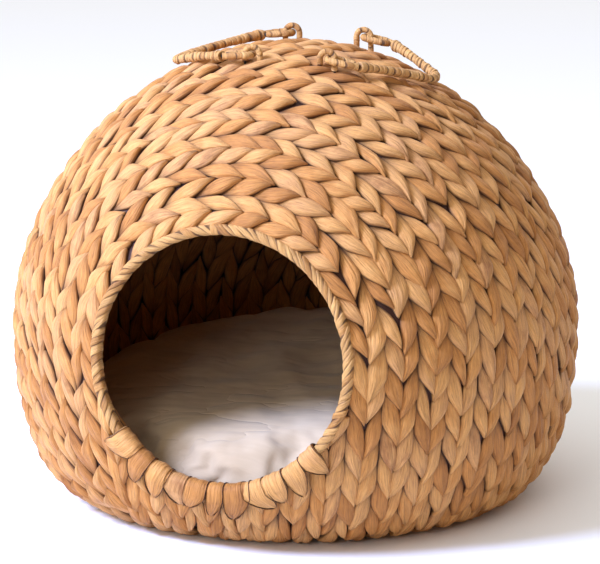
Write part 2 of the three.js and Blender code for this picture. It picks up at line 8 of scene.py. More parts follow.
import bmesh
import bpy
import numpy as np
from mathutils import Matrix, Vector


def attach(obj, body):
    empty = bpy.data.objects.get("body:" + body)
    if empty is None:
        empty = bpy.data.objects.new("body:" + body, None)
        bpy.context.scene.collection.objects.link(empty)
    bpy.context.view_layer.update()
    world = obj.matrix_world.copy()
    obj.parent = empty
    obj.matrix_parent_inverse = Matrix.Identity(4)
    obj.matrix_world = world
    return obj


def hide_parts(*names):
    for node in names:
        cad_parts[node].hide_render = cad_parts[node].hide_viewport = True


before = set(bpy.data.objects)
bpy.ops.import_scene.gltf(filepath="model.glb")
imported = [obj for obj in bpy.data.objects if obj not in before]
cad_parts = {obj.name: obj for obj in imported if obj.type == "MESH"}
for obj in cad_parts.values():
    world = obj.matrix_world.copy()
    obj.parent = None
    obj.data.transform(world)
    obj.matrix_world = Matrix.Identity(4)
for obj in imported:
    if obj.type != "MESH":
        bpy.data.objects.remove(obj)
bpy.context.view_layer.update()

MM = 0.001

# ---- Driving dimensions of the basket, the same as the frame's ----

BODY_RADIUS = 250.0
BODY_HEIGHT = 397.0
WAIST_HEIGHT = 152.0
BASE_RADIUS = 176.0
DOME_POWER_OUT = 1.92
DOME_POWER_UP = 1.84
LOWER_POWER = 2.4
INNER_FACE = 14.0

MOUTH_LEAN = math.radians(6.5)
MOUTH_DISTANCE = 227.8
RIM_RADIUS = 111.3
RIM_CENTRE_RADIUS = 106.3
WEAVE_CENTRE = np.array([0.0, 0.0, 136.0])
RIM_TURN = math.atan(RIM_RADIUS / MOUTH_DISTANCE)
BACK_HALF_TURN = math.radians(3.4)
COURSES = 22
COURSE_TURN = (math.pi - BACK_HALF_TURN - RIM_TURN) / COURSES

HANDLE_CENTRE = np.array([12.5, -1.0])
HINGE_OUT = 33.0
HINGE_HALF_LENGTH = 61.5
HINGE_RISE = 0.04
HINGE_BELOW_CROWN = {"left": 2.8, "right": 4.6}
HANDLE_REACH = {"left": 87.5, "right": 79.5}
HANDLE_BEND = 20.0
HANDLE_SLOPE = {"left": 0.045, "right": 0.165}
HANDLE_CURVE = 300.0
EYE_HALF_WIDTH = 6.25
EYE_SIDE_END = 19.0
EYE_NECK = 27.0
LOOP_RADIUS = 6.5
SIDE_WAY = {"left": -1.0, "right": 1.0}

# ---- Plaiting ----

LEAF_PITCH = 25.0
LEAF_PITCH_RANGE = (0.92, 1.06)
LEAF_LENGTH = 47.0
LEAF_CREST = 0.9
LEAF_SEAT = 6.2
LEAF_ROWS = 14
INNER_CREST = -1.6
INNER_SEAT = 9.6
# Places across a leaf, and how full it is there. The last place on each side is the folded edge.
LEAF_ACROSS = [-0.9, -1.0, -0.82, -0.5, -0.17, 0.17, 0.5, 0.82, 1.0, 0.9]
LEAF_CROWN = [0.0, 0.36, 0.72, 0.94, 1.0, 1.0, 0.94, 0.72, 0.36, 0.0]
COARSE_ROWS = 8
COARSE_ACROSS = [-0.9, -1.0, -0.6, 0.0, 0.6, 1.0, 0.9]
COARSE_CROWN = [0.0, 0.36, 0.88, 1.0, 0.88, 0.36, 0.0]
POINT_CROWDING = 0.08
TIP_LIFT = 0.85
# TIP_SHADE: the shade value at a leaf's two points, so they take some painted crevice shade.
TIP_SHADE = 0.7
# How far leaves differ, as standard deviations in mm, or in shares of the leaf or the half column.
PAIR_SHIFT = 1.5
LEAF_SHIFT = 1.6
HALF_STAGGER = 1.2
SIDE_SPREAD = 0.03
WIDTH_SPREAD = 0.09
LENGTH_SPREAD = 0.09
BEND_SPREAD = 0.05
ROLL_SPREAD = 0.09
HEIGHT_SPREAD = 0.32
# How far past a column's ends, in steps, a leaf's middle may lie.
PAST_ENDS = 0.2
# The folds along a leaf: half turns across it, and their depth.
FOLD_TURNS = (1.2, 3.0)
FOLD_DEPTH = (0.03, 0.12)
# A leaf's edges from its start to its tip, in half columns from the column's middle, and its height.
EDGE_PLACES = [0.0, 0.07, 0.18, 0.32, 0.48, 0.64, 0.77, 0.89, 1.0]
OUTER_EDGE = [0.95, 1.03, 1.08, 1.11, 1.10, 1.02, 0.70, 0.33, 0.03]
INNER_EDGE = [0.95, 0.73, 0.45, 0.17, -0.01, -0.07, -0.08, -0.05, 0.02]
LEAF_RISE = [0.05, 0.12, 0.22, 0.40, 0.68, 0.95, 1.0, 0.88, 0.60]

# The radius at a column's usual width, and how far a column may fall below its level, in radians.
COLUMN_RADIUS = 0.98 * BODY_RADIUS
COLUMN_FALL = 0.72
BACK_COLUMN_TOP = 0.05
# The heights where the leaves and the core under them end at the foot.
LEAF_FOOT = 9.0
CORE_FOOT = 5.5
INNER_FOOT = INNER_FACE + 3
CORE_TOP = 0.5
CORE_DEPTH = 1.6
INNER_CORE_DEPTH = 0.6
CORE_PLACES = 5
CORE_TONE = 0.1


# ---- The wall's shape ----

HALVINGS = 26


def is_inside(radius, height, inset):
    """True where a point lies inside the outer shape moved in by inset."""
    up = np.clip((height - WAIST_HEIGHT) / (BODY_HEIGHT - WAIST_HEIGHT - inset), 0, None)
    out = radius / (BODY_RADIUS - inset)
    dome = out ** DOME_POWER_OUT + up ** DOME_POWER_UP < 1
    down = np.clip((WAIST_HEIGHT - height) / (WAIST_HEIGHT - inset), 0, None)
    beyond = np.clip((radius - (BASE_RADIUS - inset)) / (BODY_RADIUS - BASE_RADIUS), 0, None)
    lower = (beyond ** LOWER_POWER + down ** LOWER_POWER < 1) & (height > inset)
    return np.where(height >= WAIST_HEIGHT, dome, lower)


def wall_points(direction, inset):
    """Where rays from the weave centre meet the shape moved in by inset."""
    inset = np.broadcast_to(np.asarray(inset, float), direction.shape[:-1])
    near = np.zeros(direction.shape[:-1])
    far = np.full(direction.shape[:-1], 2 * BODY_RADIUS)
    for _ in range(HALVINGS):
        middle = (near + far) / 2
        point = WEAVE_CENTRE + direction * middle[..., None]
        inner = is_inside(np.hypot(point[..., 0], point[..., 1]), point[..., 2], inset)
        near = np.where(inner, middle, near)
        far = np.where(inner, far, middle)
    return WEAVE_CENTRE + direction * ((near + far) / 2)[..., None]


def crown_height(x, y):
    out = (np.hypot(x, y) / BODY_RADIUS) ** DOME_POWER_OUT
    return WAIST_HEIGHT + (BODY_HEIGHT - WAIST_HEIGHT) * (1 - out) ** (1 / DOME_POWER_UP)


ACROSS = np.array([1.0, 0.0, 0.0])
MOUTH_AXIS = np.array([0.0, -math.cos(MOUTH_LEAN), math.sin(MOUTH_LEAN)])
LEAN_UP = np.array([0.0, math.sin(MOUTH_LEAN), math.cos(MOUTH_LEAN)])


def from_the_mouth(forward, sideways, upward):
    """A direction from its shares along the mouth's axis, across it and up it."""
    return forward[..., None] * MOUTH_AXIS + sideways[..., None] * ACROSS + upward[..., None] * LEAN_UP


def arch_direction(turn, along):
    """A course's direction. It climbs the left column while along is under 0, goes over the top from
    0 to pi, and falls down the right column after that."""
    side = np.clip(along, 0, math.pi)
    fall = np.clip(-along, 0, None) + np.clip(along - math.pi, 0, None)
    forward = np.cos(turn) * np.cos(fall)
    sideways = -np.sin(turn) * np.cos(side) * np.cos(fall)
    upward = np.sin(turn) * np.sin(side) - np.sin(fall)
    return from_the_mouth(forward, sideways, upward)


def column_direction(turn, along):
    """A standing column's direction: turn goes round the leaning upright, and along rises."""
    return from_the_mouth(np.cos(turn) * np.cos(along), np.sin(turn) * np.cos(along), np.sin(along))


def mouth_outward(place):
    """The way out from the mouth's axis; place runs round the mouth from its lowest point."""
    return np.sin(place)[..., None] * ACROSS - np.cos(place)[..., None] * LEAN_UP


def mouth_direction(turn, place):
    """A direction at turn from the mouth's axis, at a place round the mouth."""
    return np.cos(turn)[..., None] * MOUTH_AXIS + np.sin(turn)[..., None] * mouth_outward(place)


# ---- Meshes ----

def full_turn(count):
    """Angles at even steps round a circle."""
    return np.linspace(0, 2 * math.pi, count, endpoint=False)


def lengths_along(points):
    """How far along a line of points each one is."""
    steps = np.linalg.norm(np.diff(points, axis=0), axis=1)
    return np.concatenate([[0], np.cumsum(steps)])


def tangents(points):
    tangent = np.gradient(points, axis=0)
    return tangent / np.linalg.norm(tangent, axis=1)[:, None]


def link_object(name, data):
    """A new object in the scene."""
    made = bpy.data.objects.new(name, data)
    bpy.context.scene.collection.objects.link(made)
    return made


def grid_quads(index):
    """Quads of a grid of point numbers whose last two axes are rows and columns."""
    near, far = index[..., :-1, :], index[..., 1:, :]
    return np.stack([near[..., :-1], near[..., 1:], far[..., 1:], far[..., :-1]], -1)


def face_outward(mesh):
    """Turns the faces of every closed shell to point out of it."""
    maker = bmesh.new()
    maker.from_mesh(mesh)
    bmesh.ops.recalc_face_normals(maker, faces=maker.faces[:])
    maker.to_mesh(mesh)
    maker.free()


class Builder:
    """Gathers points, faces and per-point fibre data, and makes one mesh object of them.

    seed is a number, or the random generator of another builder that this one goes on from.
    """

    def __init__(self, seed):
        self.rng = np.random.default_rng(seed)
        self.points = []
        self.faces = {3: [], 4: []}
        self.fibre = []
        self.tone = []
        # shade: each point's share of its own colour; low values take on painted crevice shade.
        self.shade = []
        self.count = 0

    def add_points(self, points, fibre, tone, shade):
        start = self.count
        flat = points.reshape(-1, 3)
        shape = points.shape[:-1]
        self.points.append(flat)
        self.fibre.append(np.broadcast_to(fibre, points.shape).reshape(-1, 3))
        self.tone.append(np.broadcast_to(tone, shape).reshape(-1))
        self.shade.append(np.broadcast_to(shade, shape).reshape(-1))
        self.count += len(flat)
        return start + np.arange(len(flat)).reshape(shape)

    def add_faces(self, corners):
        corners = corners.reshape(-1, corners.shape[-1])
        self.faces[corners.shape[1]].append(corners)

    def add_shell(self, upper, lower):
        """Joins two grids of point numbers into one closed shell."""
        self.add_faces(grid_quads(upper))
        self.add_faces(grid_quads(lower))
        top, bottom = (
            np.concatenate([grid[0, :], grid[1:, -1], grid[-1, -2::-1], grid[-2:0:-1, 0]])
            for grid in (upper, lower)
        )
        self.add_faces(np.stack([top, bottom, np.roll(bottom, -1), np.roll(top, -1)], -1))

    def make(self, name, material, stands_for=None, body="root"):
        mesh = bpy.data.meshes.new(name)
        groups = self.faces[3] + self.faces[4]
        faces = [corners for group in groups for corners in group.tolist()]
        mesh.from_pydata(np.concatenate(self.points) * MM, [], faces)
        face_outward(mesh)
        mesh.shade_smooth()
        fibre = mesh.attributes.new("fibre", "FLOAT_VECTOR", "POINT")
        fibre.data.foreach_set("vector", np.concatenate(self.fibre).astype(np.float32).ravel())
        for label, values in (("tone", self.tone), ("shade", self.shade)):
            layer = mesh.attributes.new(label, "FLOAT", "POINT")
            layer.data.foreach_set("value", np.concatenate(values).astype(np.float32))
        mesh.materials.append(material)
        piece = link_object(name, mesh)
        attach(piece, body)
        if stands_for:
            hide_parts(stands_for)


# The range of the numbers that give each leaf its own place in the noise.
SEEDS = 1000


def leaf_steps(rows):
    """Places along a leaf from 0 to 1, closer together at its two points."""
    even = np.linspace(0, 1, rows + 1)
    return even - POINT_CROWDING * np.sin(2 * math.pi * even)


def add_leaves(builder, place, centre, length, edges, rise, height, half_column, coarse=False):
    """Adds crowned leaves. place(y, s, lift) gives points from the column's own coordinates.

    edges holds each leaf's outer and inner edge in half columns, and rise its height, at steps from its
    start to its tip. centre, length and height hold one value for each leaf.
    """
    rng = builder.rng
    outer, inner = edges
    count = len(centre)
    column = (slice(None), None, None)
    across = np.array(COARSE_ACROSS if coarse else LEAF_ACROSS)[None, None, :]
    crown = np.array(COARSE_CROWN if coarse else LEAF_CROWN)[None, None, :]
    t = leaf_steps(outer.shape[1] - 1)[None, 1:-1, None]
    middle = (outer[:, 1:-1, None] + inner[:, 1:-1, None]) / 2
    half_width = (outer[:, 1:-1, None] - inner[:, 1:-1, None]) / 2
    y = middle + half_width * across
    s = centre[column] + (t - 0.5) * length[column] + 0 * y
    roll = rng.normal(0, ROLL_SPREAD, count)[column] * across
    phase = rng.uniform(0, 2 * math.pi, count)[column]
    turns = rng.uniform(*FOLD_TURNS, count)[column]
    deep = rng.uniform(*FOLD_DEPTH, count)[column]
    fold = deep * np.cos(turns * math.pi * across + phase) * np.minimum(1, 3 * crown)
    level = rise[:, 1:-1, None]
    lift = height[column] * level * crown * (1 + roll + fold)
    grid = place(y, s, lift)
    number = rng.uniform(0, SEEDS, count)
    tone = rng.uniform(0, 1, count)
    widest = np.abs(outer - inner).max(1) / 2 * half_column
    sideways = across * widest[column]
    fibre = np.stack(np.broadcast_arrays(sideways, t * length[column], number[column]), -1)
    # Painted shade: low toward a leaf's edges and where it rises from under the leaf before it.
    shade = np.broadcast_to(crown * np.clip(0.35 + level, 0, 1), lift.shape)
    index = builder.add_points(grid, fibre, tone[column], shade)
    tips = []
    for end in (0, -1):
        tip_s = centre + (-0.5 if end == 0 else 0.5) * length
        tip_lift = TIP_LIFT * height * rise[:, end]
        tip = place(outer[:, end][:, None], tip_s[:, None], tip_lift[:, None])
        tip_fibre = np.stack([np.zeros(count), -end * length, number], -1)[:, None, :]
        tips.append(builder.add_points(tip, tip_fibre, tone[:, None], TIP_SHADE)[:, 0])
    builder.add_faces(grid_quads(index))
    first = index[:, 0, :]
    last = index[:, -1, :]
    start_tip = np.repeat(tips[0][:, None], first.shape[1] - 1, 1)
    end_tip = np.repeat(tips[1][:, None], first.shape[1] - 1, 1)
    builder.add_faces(np.stack([start_tip, first[:, 1:], first[:, :-1]], -1))
    builder.add_faces(np.stack([end_tip, last[:, :-1], last[:, 1:]], -1))
    left = index[:, :, 0]
    right = index[:, :, -1]
    builder.add_faces(np.stack([left[:, :-1], left[:, 1:], right[:, 1:], right[:, :-1]], -1))
    builder.add_faces(np.stack([tips[0], left[:, 0], right[:, 0]], -1))
    builder.add_faces(np.stack([tips[1], right[:, -1], left[:, -1]], -1))


def edge_samples(values, rows):
    return np.interp(leaf_steps(rows), EDGE_PLACES, values)[None, :]


def plait_column(builder, place, start, end, half_column, forward=1, crest=LEAF_CREST, coarse=False):
    """Fills a column from start to end along it with pairs of leaves that point one way."""
    rng = builder.rng
    rows = COARSE_ROWS if coarse else LEAF_ROWS
    pitch = LEAF_PITCH * rng.uniform(*LEAF_PITCH_RANGE)
    count = max(int(round((end - start) / pitch)), 1)
    step = (end - start) / count
    number = np.arange(-1, count + 1)
    pair = start + (number + 0.5 + rng.uniform(-0.3, 0.3)) * step
    pair += rng.normal(0, PAIR_SHIFT, len(number))
    for half in (-1, 1):
        centre = pair + rng.normal(0, LEAF_SHIFT, len(pair)) + half * HALF_STAGGER
        centre = centre[(centre > start - PAST_ENDS * step) & (centre < end + PAST_ENDS * step)]
        count_here = len(centre)
        column = (slice(None), None)
        outer = edge_samples(OUTER_EDGE, rows)
        inner = edge_samples(INNER_EDGE, rows)
        middle = (outer + inner) / 2 + rng.normal(0, SIDE_SPREAD, count_here)[column]
        half_width = (outer - inner) / 2 * rng.normal(1.0, WIDTH_SPREAD, count_here)[column]
        bow = np.sin(math.pi * leaf_steps(rows))[None, :]
        bend = rng.normal(0, BEND_SPREAD, count_here)[column] * bow
        edges = [half * (middle + half_width + bend), half * (middle - half_width + bend)]
        rise = edge_samples(LEAF_RISE, rows) + np.zeros((count_here, 1))
        if forward < 0:
            edges = [edge[:, ::-1] for edge in edges]
            rise = rise[:, ::-1]
        length = LEAF_LENGTH * rng.normal(1.0, LENGTH_SPREAD, count_here)
        height = LEAF_SEAT + crest + rng.normal(0, HEIGHT_SPREAD, count_here)
        add_leaves(builder, place, centre, length, edges, rise, height, half_column, coarse)


def add_core(builder, place, start, end, rows=64, depth=CORE_DEPTH):
    """A closed band under the leaves, coloured with the full painted crevice shade so the gaps between
    leaves read dark.
    """
    shape = (rows + 1, CORE_PLACES)
    s = np.broadcast_to(np.linspace(start, end, rows + 1)[:, None], shape)
    y = np.broadcast_to(np.linspace(-1.0, 1.0, CORE_PLACES)[None, :], shape)
    upper, lower = (
        builder.add_points(place(y, s, np.full(shape, lift)), np.zeros(3), CORE_TONE, 0.0)
        for lift in (CORE_TOP, -depth)
    )
    builder.add_shell(upper, lower)


UNDER_RIM = 0.004
TINY = 1e-6


def off_the_mouth(direction):
    """Turns directions that enter the mouth out to its edge, just behind the rim."""
    forward = direction @ MOUTH_AXIS
    sideways = direction - forward[..., None] * MOUTH_AXIS
    off = np.linalg.norm(sideways, axis=-1)
    turn = np.maximum(np.arctan2(off, forward), RIM_TURN - UNDER_RIM)
    unit = sideways / np.maximum(off, TINY)[..., None]
    return np.cos(turn)[..., None] * MOUTH_AXIS + np.sin(turn)[..., None] * unit


class WallColumn:
    """A column on the wall. s is in mm along its middle, and y goes from -1 to 1 across it."""

    SAMPLES = 500

    def __init__(self, direction, middle, half_turn, low, high, outward=True):
        self.direction = direction
        self.middle = middle
        self.half_turn = half_turn
        self.outward = outward
        self.along = np.linspace(low, high, self.SAMPLES)
        line = direction(np.full(self.SAMPLES, middle), self.along)
        centre = wall_points(line, 0 if outward else INNER_FACE)
        self.distance = lengths_along(centre)
        self.height = centre[:, 2]

    def place(self, y, s, lift):
        y, s, lift = np.broadcast_arrays(y, s, lift)
        along = np.interp(s, self.distance, self.along)
        inset = LEAF_SEAT - lift if self.outward else INNER_SEAT + lift
        direction = self.direction(self.middle + y * self.half_turn, along)
        points = wall_points(off_the_mouth(direction), inset)
        points[..., 2] = np.maximum(points[..., 2], 0.0)
        return points

    def standing(self, height):
        """The first and last distances along the column where the wall is above a height."""
        above = self.distance[self.height > height]
        return above[0], above[-1]


# ---- Materials ----

def linear(red, green, blue):
    """A colour given as 0 to 255 screen values, as the shader's linear colour."""
    values = [channel / 255 for channel in (red, green, blue)]
    return [v / 12.92 if v <= 0.04045 else ((v + 0.055) / 1.055) ** 2.4 for v in values] + [1.0]


def grey(value):
    return (value, value, value, 1)


class Nodes:
    """Short calls for building one material's node tree."""

    def __init__(self, name):
        self.material = bpy.data.materials.new(name)
        self.material.use_nodes = True
        self.tree = self.material.node_tree
        self.shader = self.tree.nodes["Principled BSDF"]

    def put(self, socket, value):
        """Gives a socket a constant, or links another node's output to it."""
        if isinstance(value, bpy.types.NodeSocket):
            self.tree.links.new(value, socket)
        else:
            socket.default_value = value

    def surface(self, **values):
        """Sets the shader's sockets; a name's underscores stand for spaces."""
        for name, value in values.items():
            self.put(self.shader.inputs[name.replace("_", " ")], value)

    def new(self, kind, **values):
        """A node with its own settings and input sockets set."""
        node = self.tree.nodes.new(kind)
        for key, value in values.items():
            if hasattr(node, key):
                setattr(node, key, value)
            else:
                self.put(node.inputs[key], value)
        return node

    def attribute(self, name, output="Fac"):
        return self.new("ShaderNodeAttribute", attribute_name=name).outputs[output]

    def place(self):
        return self.new("ShaderNodeTexCoord").outputs["Object"]

    def maths(self, operation, *values):
        node = self.new("ShaderNodeMath", operation=operation)
        for socket, value in zip(node.inputs, values):
            self.put(socket, value)
        return node.outputs[0]

    def scaled(self, vector, scale):
        node = self.new("ShaderNodeVectorMath", operation="MULTIPLY")
        self.put(node.inputs[0], vector)
        self.put(node.inputs[1], scale)
        return node.outputs[0]

    def noise(self, vector, scale, detail=3.0, roughness=0.55):
        values = {"Vector": vector, "Scale": scale, "Detail": detail, "Roughness": roughness}
        return self.new("ShaderNodeTexNoise", **values).outputs["Fac"]

    def threads(self, vector, **values):
        """Two sets of bands that cross like a woven cloth's threads."""
        values["Vector"] = vector
        waves = [self.new("ShaderNodeTexWave", bands_direction=way, **values) for way in ("X", "Y")]
        return [wave.outputs["Fac"] for wave in waves]

    def ramp(self, factor, *stops):
        node = self.new("ShaderNodeValToRGB", Fac=factor)
        ends = node.color_ramp.elements
        while len(ends) < len(stops):
            ends.new(0.5)
        for element, (position, colour) in zip(ends, stops):
            element.position = position
            element.color = colour
        return node.outputs[0]

    def mix(self, factor, first, second, kind="MIX"):
        node = self.new("ShaderNodeMix", data_type="RGBA", blend_type=kind)
        for number, value in ((0, factor), (6, first), (7, second)):
            self.put(node.inputs[number], value)
        return node.outputs[2]

    def bump(self, height, distance, strength=1.0, below=None):
        node = self.new("ShaderNodeBump", Strength=strength, Distance=distance, Height=height)
        if below is not None:
            self.put(node.inputs["Normal"], below)
        return node.outputs[0]


def hyacinth(name, palette, crevice_shade, roughness=0.62):
    """Dried leaf: a tone for each leaf, fibres along it, blotches, and painted crevice shade where the
    shade attribute is low.
    """
    n = Nodes(name)
    fibre = n.attribute("fibre", "Vector")
    fine = n.noise(n.scaled(fibre, (2.6, 0.09, 1.0)), 1.0, 4.0, 0.6)
    broad = n.noise(n.scaled(fibre, (0.55, 0.035, 1.0)), 1.0, 2.0)
    blotch = n.noise(n.scaled(fibre, (0.12, 0.07, 1.0)), 1.0, 3.0, 0.6)
    tone = n.maths("MULTIPLY", n.attribute("tone"), 0.58)
    leaf_tone = n.maths("ADD", tone, n.maths("MULTIPLY", blotch, 0.5))
    base = n.ramp(leaf_tone, *[(position, linear(*colour)) for position, colour in palette])
    streak = n.ramp(fine, (0.3, (0.42, 0.34, 0.27, 1)), (0.5, grey(1)), (0.75, (1.28, 1.27, 1.26, 1)))
    streaked = n.mix(0.75, base, streak, "MULTIPLY")
    soft = n.ramp(broad, (0.3, (0.78, 0.72, 0.66, 1)), (0.62, (1.05, 1.04, 1.02, 1)))
    grained = n.mix(0.7, streaked, soft, "MULTIPLY")
    shade = n.attribute("shade")
    # Painted shade: a low shade value, at leaf edges, under overlaps and on the bands beneath, swaps
    # the leaf's colour for the dark crevice colour.
    depth = n.ramp(shade, (0.0, grey(0)), (0.36, grey(0.12)), (0.62, grey(0.82)), (0.85, grey(1)))
    lines = n.bump(fine, 0.0007, 0.9)
    n.surface(
        Base_Color=n.mix(depth, linear(*crevice_shade), grained),
        Roughness=n.maths("ADD", n.maths("MULTIPLY", fine, 0.22), roughness - 0.11),
        Specular_IOR_Level=0.34,
        Sheen_Weight=0.04,
        Sheen_Roughness=0.45,
        Normal=n.bump(broad, 0.0016, 0.8, lines),
    )
    return n.material


GOLDEN = [
    (0.10, (116, 68, 29)),
    (0.22, (178, 117, 55)),
    (0.45, (203, 139, 70)),
    (0.62, (219, 161, 92)),
    (0.80, (208, 152, 92)),
    (0.95, (160, 103, 55)),
]
BOUND = [
    (0.10, (142, 92, 44)),
    (0.35, (192, 137, 72)),
    (0.60, (216, 165, 97)),
    (0.85, (200, 149, 86)),
]
# SHADED: the inside's palette, a darker copy of the leaf's own, as painted shade inside the dome.
SHADED = [
    (0.10, (116, 70, 28)),
    (0.35, (174, 114, 52)),
    (0.60, (200, 138, 68)),
    (0.90, (160, 104, 52)),
]

# The last colour of each is painted crevice shade: dark for the outer leaf, darker still inside,
# lighter on the bound strips.
leaf_material = hyacinth("plaited_hyacinth", GOLDEN, (58, 26, 7))
inner_material = hyacinth("inner_hyacinth", SHADED, (30, 14, 5))
bound_material = hyacinth("bound_hyacinth", BOUND, (80, 42, 16), 0.58)


# ---- The plaited wall ----

def course_column(number, outward=True):
    middle = RIM_TURN + (number + 0.5) * COURSE_TURN
    end = math.pi + COLUMN_FALL
    return WallColumn(arch_direction, middle, COURSE_TURN / 2, -COLUMN_FALL, end, outward)


def plaited_course(number):
    column = course_column(number)
    start, end = column.standing(LEAF_FOOT)
    builder = Builder(100 + number)
    plait_column(builder, column.place, start, end, COLUMN_RADIUS * COURSE_TURN / 2)
    add_core(builder, column.place, *column.standing(CORE_FOOT))
    label = f"course_{number + 1:02d}"
    builder.make(f"plaited_{label}", leaf_material, f"weft_{label}")


for number in range(COURSES):
    plaited_course(number)


def plaited_back_column():
    column = WallColumn(column_direction, math.pi, BACK_HALF_TURN, -COLUMN_FALL, BACK_COLUMN_TOP)
    start, end = column.standing(LEAF_FOOT)
    builder = Builder(90)
    plait_column(builder, column.place, start, end, COLUMN_RADIUS * BACK_HALF_TURN, forward=-1)
    add_core(builder, column.place, column.standing(CORE_FOOT)[0], end)
    builder.make("plaited_back_column", leaf_material, "back_column_weave")


plaited_back_column()

APRON_COLUMNS = 8
APRON_PAST_RIM = 0.07
APRON_FALL = 0.76
apron_half = RIM_TURN / APRON_COLUMNS
apron_columns = []
for number in range(APRON_COLUMNS):
    apron_middle = (2 * number + 1 - APRON_COLUMNS) * apron_half
    rim_fall = math.acos(math.cos(RIM_TURN) / math.cos(abs(apron_middle)))
    apron_columns.append((apron_middle, APRON_PAST_RIM - rim_fall))


def plaited_apron():
    """The short columns under the mouth; their leaves point down, and the rim trims them."""
    builder = Builder(91)
    for middle, top in apron_columns:
        column = WallColumn(column_direction, middle, apron_half, -APRON_FALL, top)
        start, end = column.standing(LEAF_FOOT)
        plait_column(builder, column.place, start, end, COLUMN_RADIUS * apron_half, forward=-1)
        add_core(builder, column.place, column.standing(CORE_FOOT)[0], end, rows=16)
    builder.make("plaited_apron", leaf_material, "front_apron_weave")


plaited_apron()


def plaited_inside():
    """The inner face, where the same columns show again."""
    builder = Builder(92)
    columns = [(course_column(number, outward=False), 1) for number in range(COURSES)]
    standing = [(math.pi, BACK_HALF_TURN, BACK_COLUMN_TOP)]
    standing += [(middle, apron_half, top) for middle, top in apron_columns]
    for middle, half, top in standing:
        column = WallColumn(column_direction, middle, half, -COLUMN_FALL, top, outward=False)
        columns.append((column, -1))
    half_column = (BODY_RADIUS - INNER_FACE) * COURSE_TURN / 2
    for column, forward in columns:
        start, end = column.standing(INNER_FOOT)
        if end - start > LEAF_PITCH:
            plait_column(builder, column.place, start, end, half_column, forward, INNER_CREST, True)
        add_core(builder, column.place, start, end, depth=INNER_CORE_DEPTH)
    builder.make("plaited_inside", inner_material, "inner_weave")


plaited_inside()


# ---- The wraps round the foot ----

WRAP_OUTER = [1.06, 1.08, 1.05, 0.98, 0.86, 0.66, 0.42, 0.18, 0.0]
WRAP_RISE = [0.5, 0.75, 0.95, 1.0, 0.98, 0.9, 0.78, 0.6, 0.35]
WRAP_LENGTH = 56.0
WRAP_MIDDLE_HEIGHT = 4.0
WRAP_CREST = 0.5
WRAP_LOW = -0.98
WRAP_HIGH = -0.3
WRAP_WIDTH_SPREAD = 0.05
WRAP_LEAN_SPREAD = 0.10
WRAP_LENGTH_SPREAD = 0.06


def foot_wraps():
    """One wide leaf folds under the edge at each boundary between columns."""
    builder = Builder(93)
    rng = builder.rng
    turns = [RIM_TURN + number * COURSE_TURN for number in range(COURSES + 1)]
    turns = [-turn for turn in turns] + turns
    turns += [(2 * number - APRON_COLUMNS) * apron_half for number in range(1, APRON_COLUMNS)]
    half_turn = COURSE_TURN / 2
    for turn in turns:
        column = WallColumn(column_direction, turn, half_turn, WRAP_LOW, WRAP_HIGH)
        beyond = column.distance[np.argmax(column.height > WRAP_MIDDLE_HEIGHT)]
        shape = edge_samples(WRAP_OUTER, LEAF_ROWS) * rng.normal(1, WRAP_WIDTH_SPREAD)
        lean = rng.normal(0, WRAP_LEAN_SPREAD) * np.linspace(0, 1, LEAF_ROWS + 1)[None, :]
        centre = np.array([beyond + rng.normal(0, 1.5)])
        length = np.array([WRAP_LENGTH * rng.normal(1, WRAP_LENGTH_SPREAD)])
        rise = edge_samples(WRAP_RISE, LEAF_ROWS)
        height = np.array([LEAF_SEAT + WRAP_CREST + rng.normal(0, 0.3)])
        edges = (shape + lean, lean - shape)
        add_leaves(builder, column.place, centre, length, edges, rise, height, BASE_RADIUS * half_turn)
    builder.make("foot_wraps", leaf_material)


foot_wraps()


# ---- The underside ----

FLOOR_RING = 29.0
FLOOR_RINGS = 6
FLOOR_TOP = 5.5
FLOOR_DISC = 1.6
FLOOR_LEAF_SEAT = 0.3
FLOOR_LEAF_SHARE = 0.72
FLOOR_SEGMENTS = 72


def plaited_floor():
    """The underside: rings of the same plaiting round a button, under one closed disc."""
    builder = Builder(94)
    for ring in range(FLOOR_RINGS):
        radius = (ring + 0.5) * FLOOR_RING

        def place(y, s, lift, radius=radius):
            y, s, lift = np.broadcast_arrays(y, s, lift)
            out = radius + y * FLOOR_RING / 2
            height = np.maximum(FLOOR_TOP - FLOOR_LEAF_SEAT - FLOOR_LEAF_SHARE * lift, 0.0)
            return np.stack([out * np.cos(s / radius), out * np.sin(s / radius), height], -1)

        plait_column(builder, place, 0.0, 2 * math.pi * radius, FLOOR_RING / 2, coarse=True)
    # The closed disc behind the rings takes the full painted crevice shade, so the gaps between the
    # floor's leaves read dark.
    angle = full_turn(FLOOR_SEGMENTS)
    edge = BASE_RADIUS - 2
    low = FLOOR_TOP - FLOOR_DISC
    rings = []
    for radius, height in ((1.0, low), (edge, low), (edge, FLOOR_TOP), (1.0, FLOOR_TOP)):
        circle = np.stack([radius * np.cos(angle), radius * np.sin(angle), height + 0 * angle], -1)
        rings.append(builder.add_points(circle, np.zeros(3), CORE_TONE, 0.0))
    for near, far in zip(rings, rings[1:] + rings[:1]):
        builder.add_faces(np.stack([near, far, np.roll(far, -1), np.roll(near, -1)], -1))
    builder.make("plaited_floor", leaf_material, "floor_weave")


plaited_floor()


# ---- Windings ----

# Places along one turn of the strip, and how far its ridge stands up there, as a share.
WINDING_PLACES = [0.02, 0.15, 0.4, 0.7, 0.92, 0.99]
WINDING_RIDGE = [0.0, 0.45, 0.75, 0.95, 1.0, 0.25]
WINDING_WIDTH_SPREAD = 0.18
WINDING_HEIGHT_SPREAD = 0.3
WINDING_LEAN_SPREAD = 0.35
WINDING_WOBBLE = 0.04
# WINDING_END_SHADE: the shade value at a winding's end caps, so they take some painted crevice shade.
WINDING_END_SHADE = 0.3
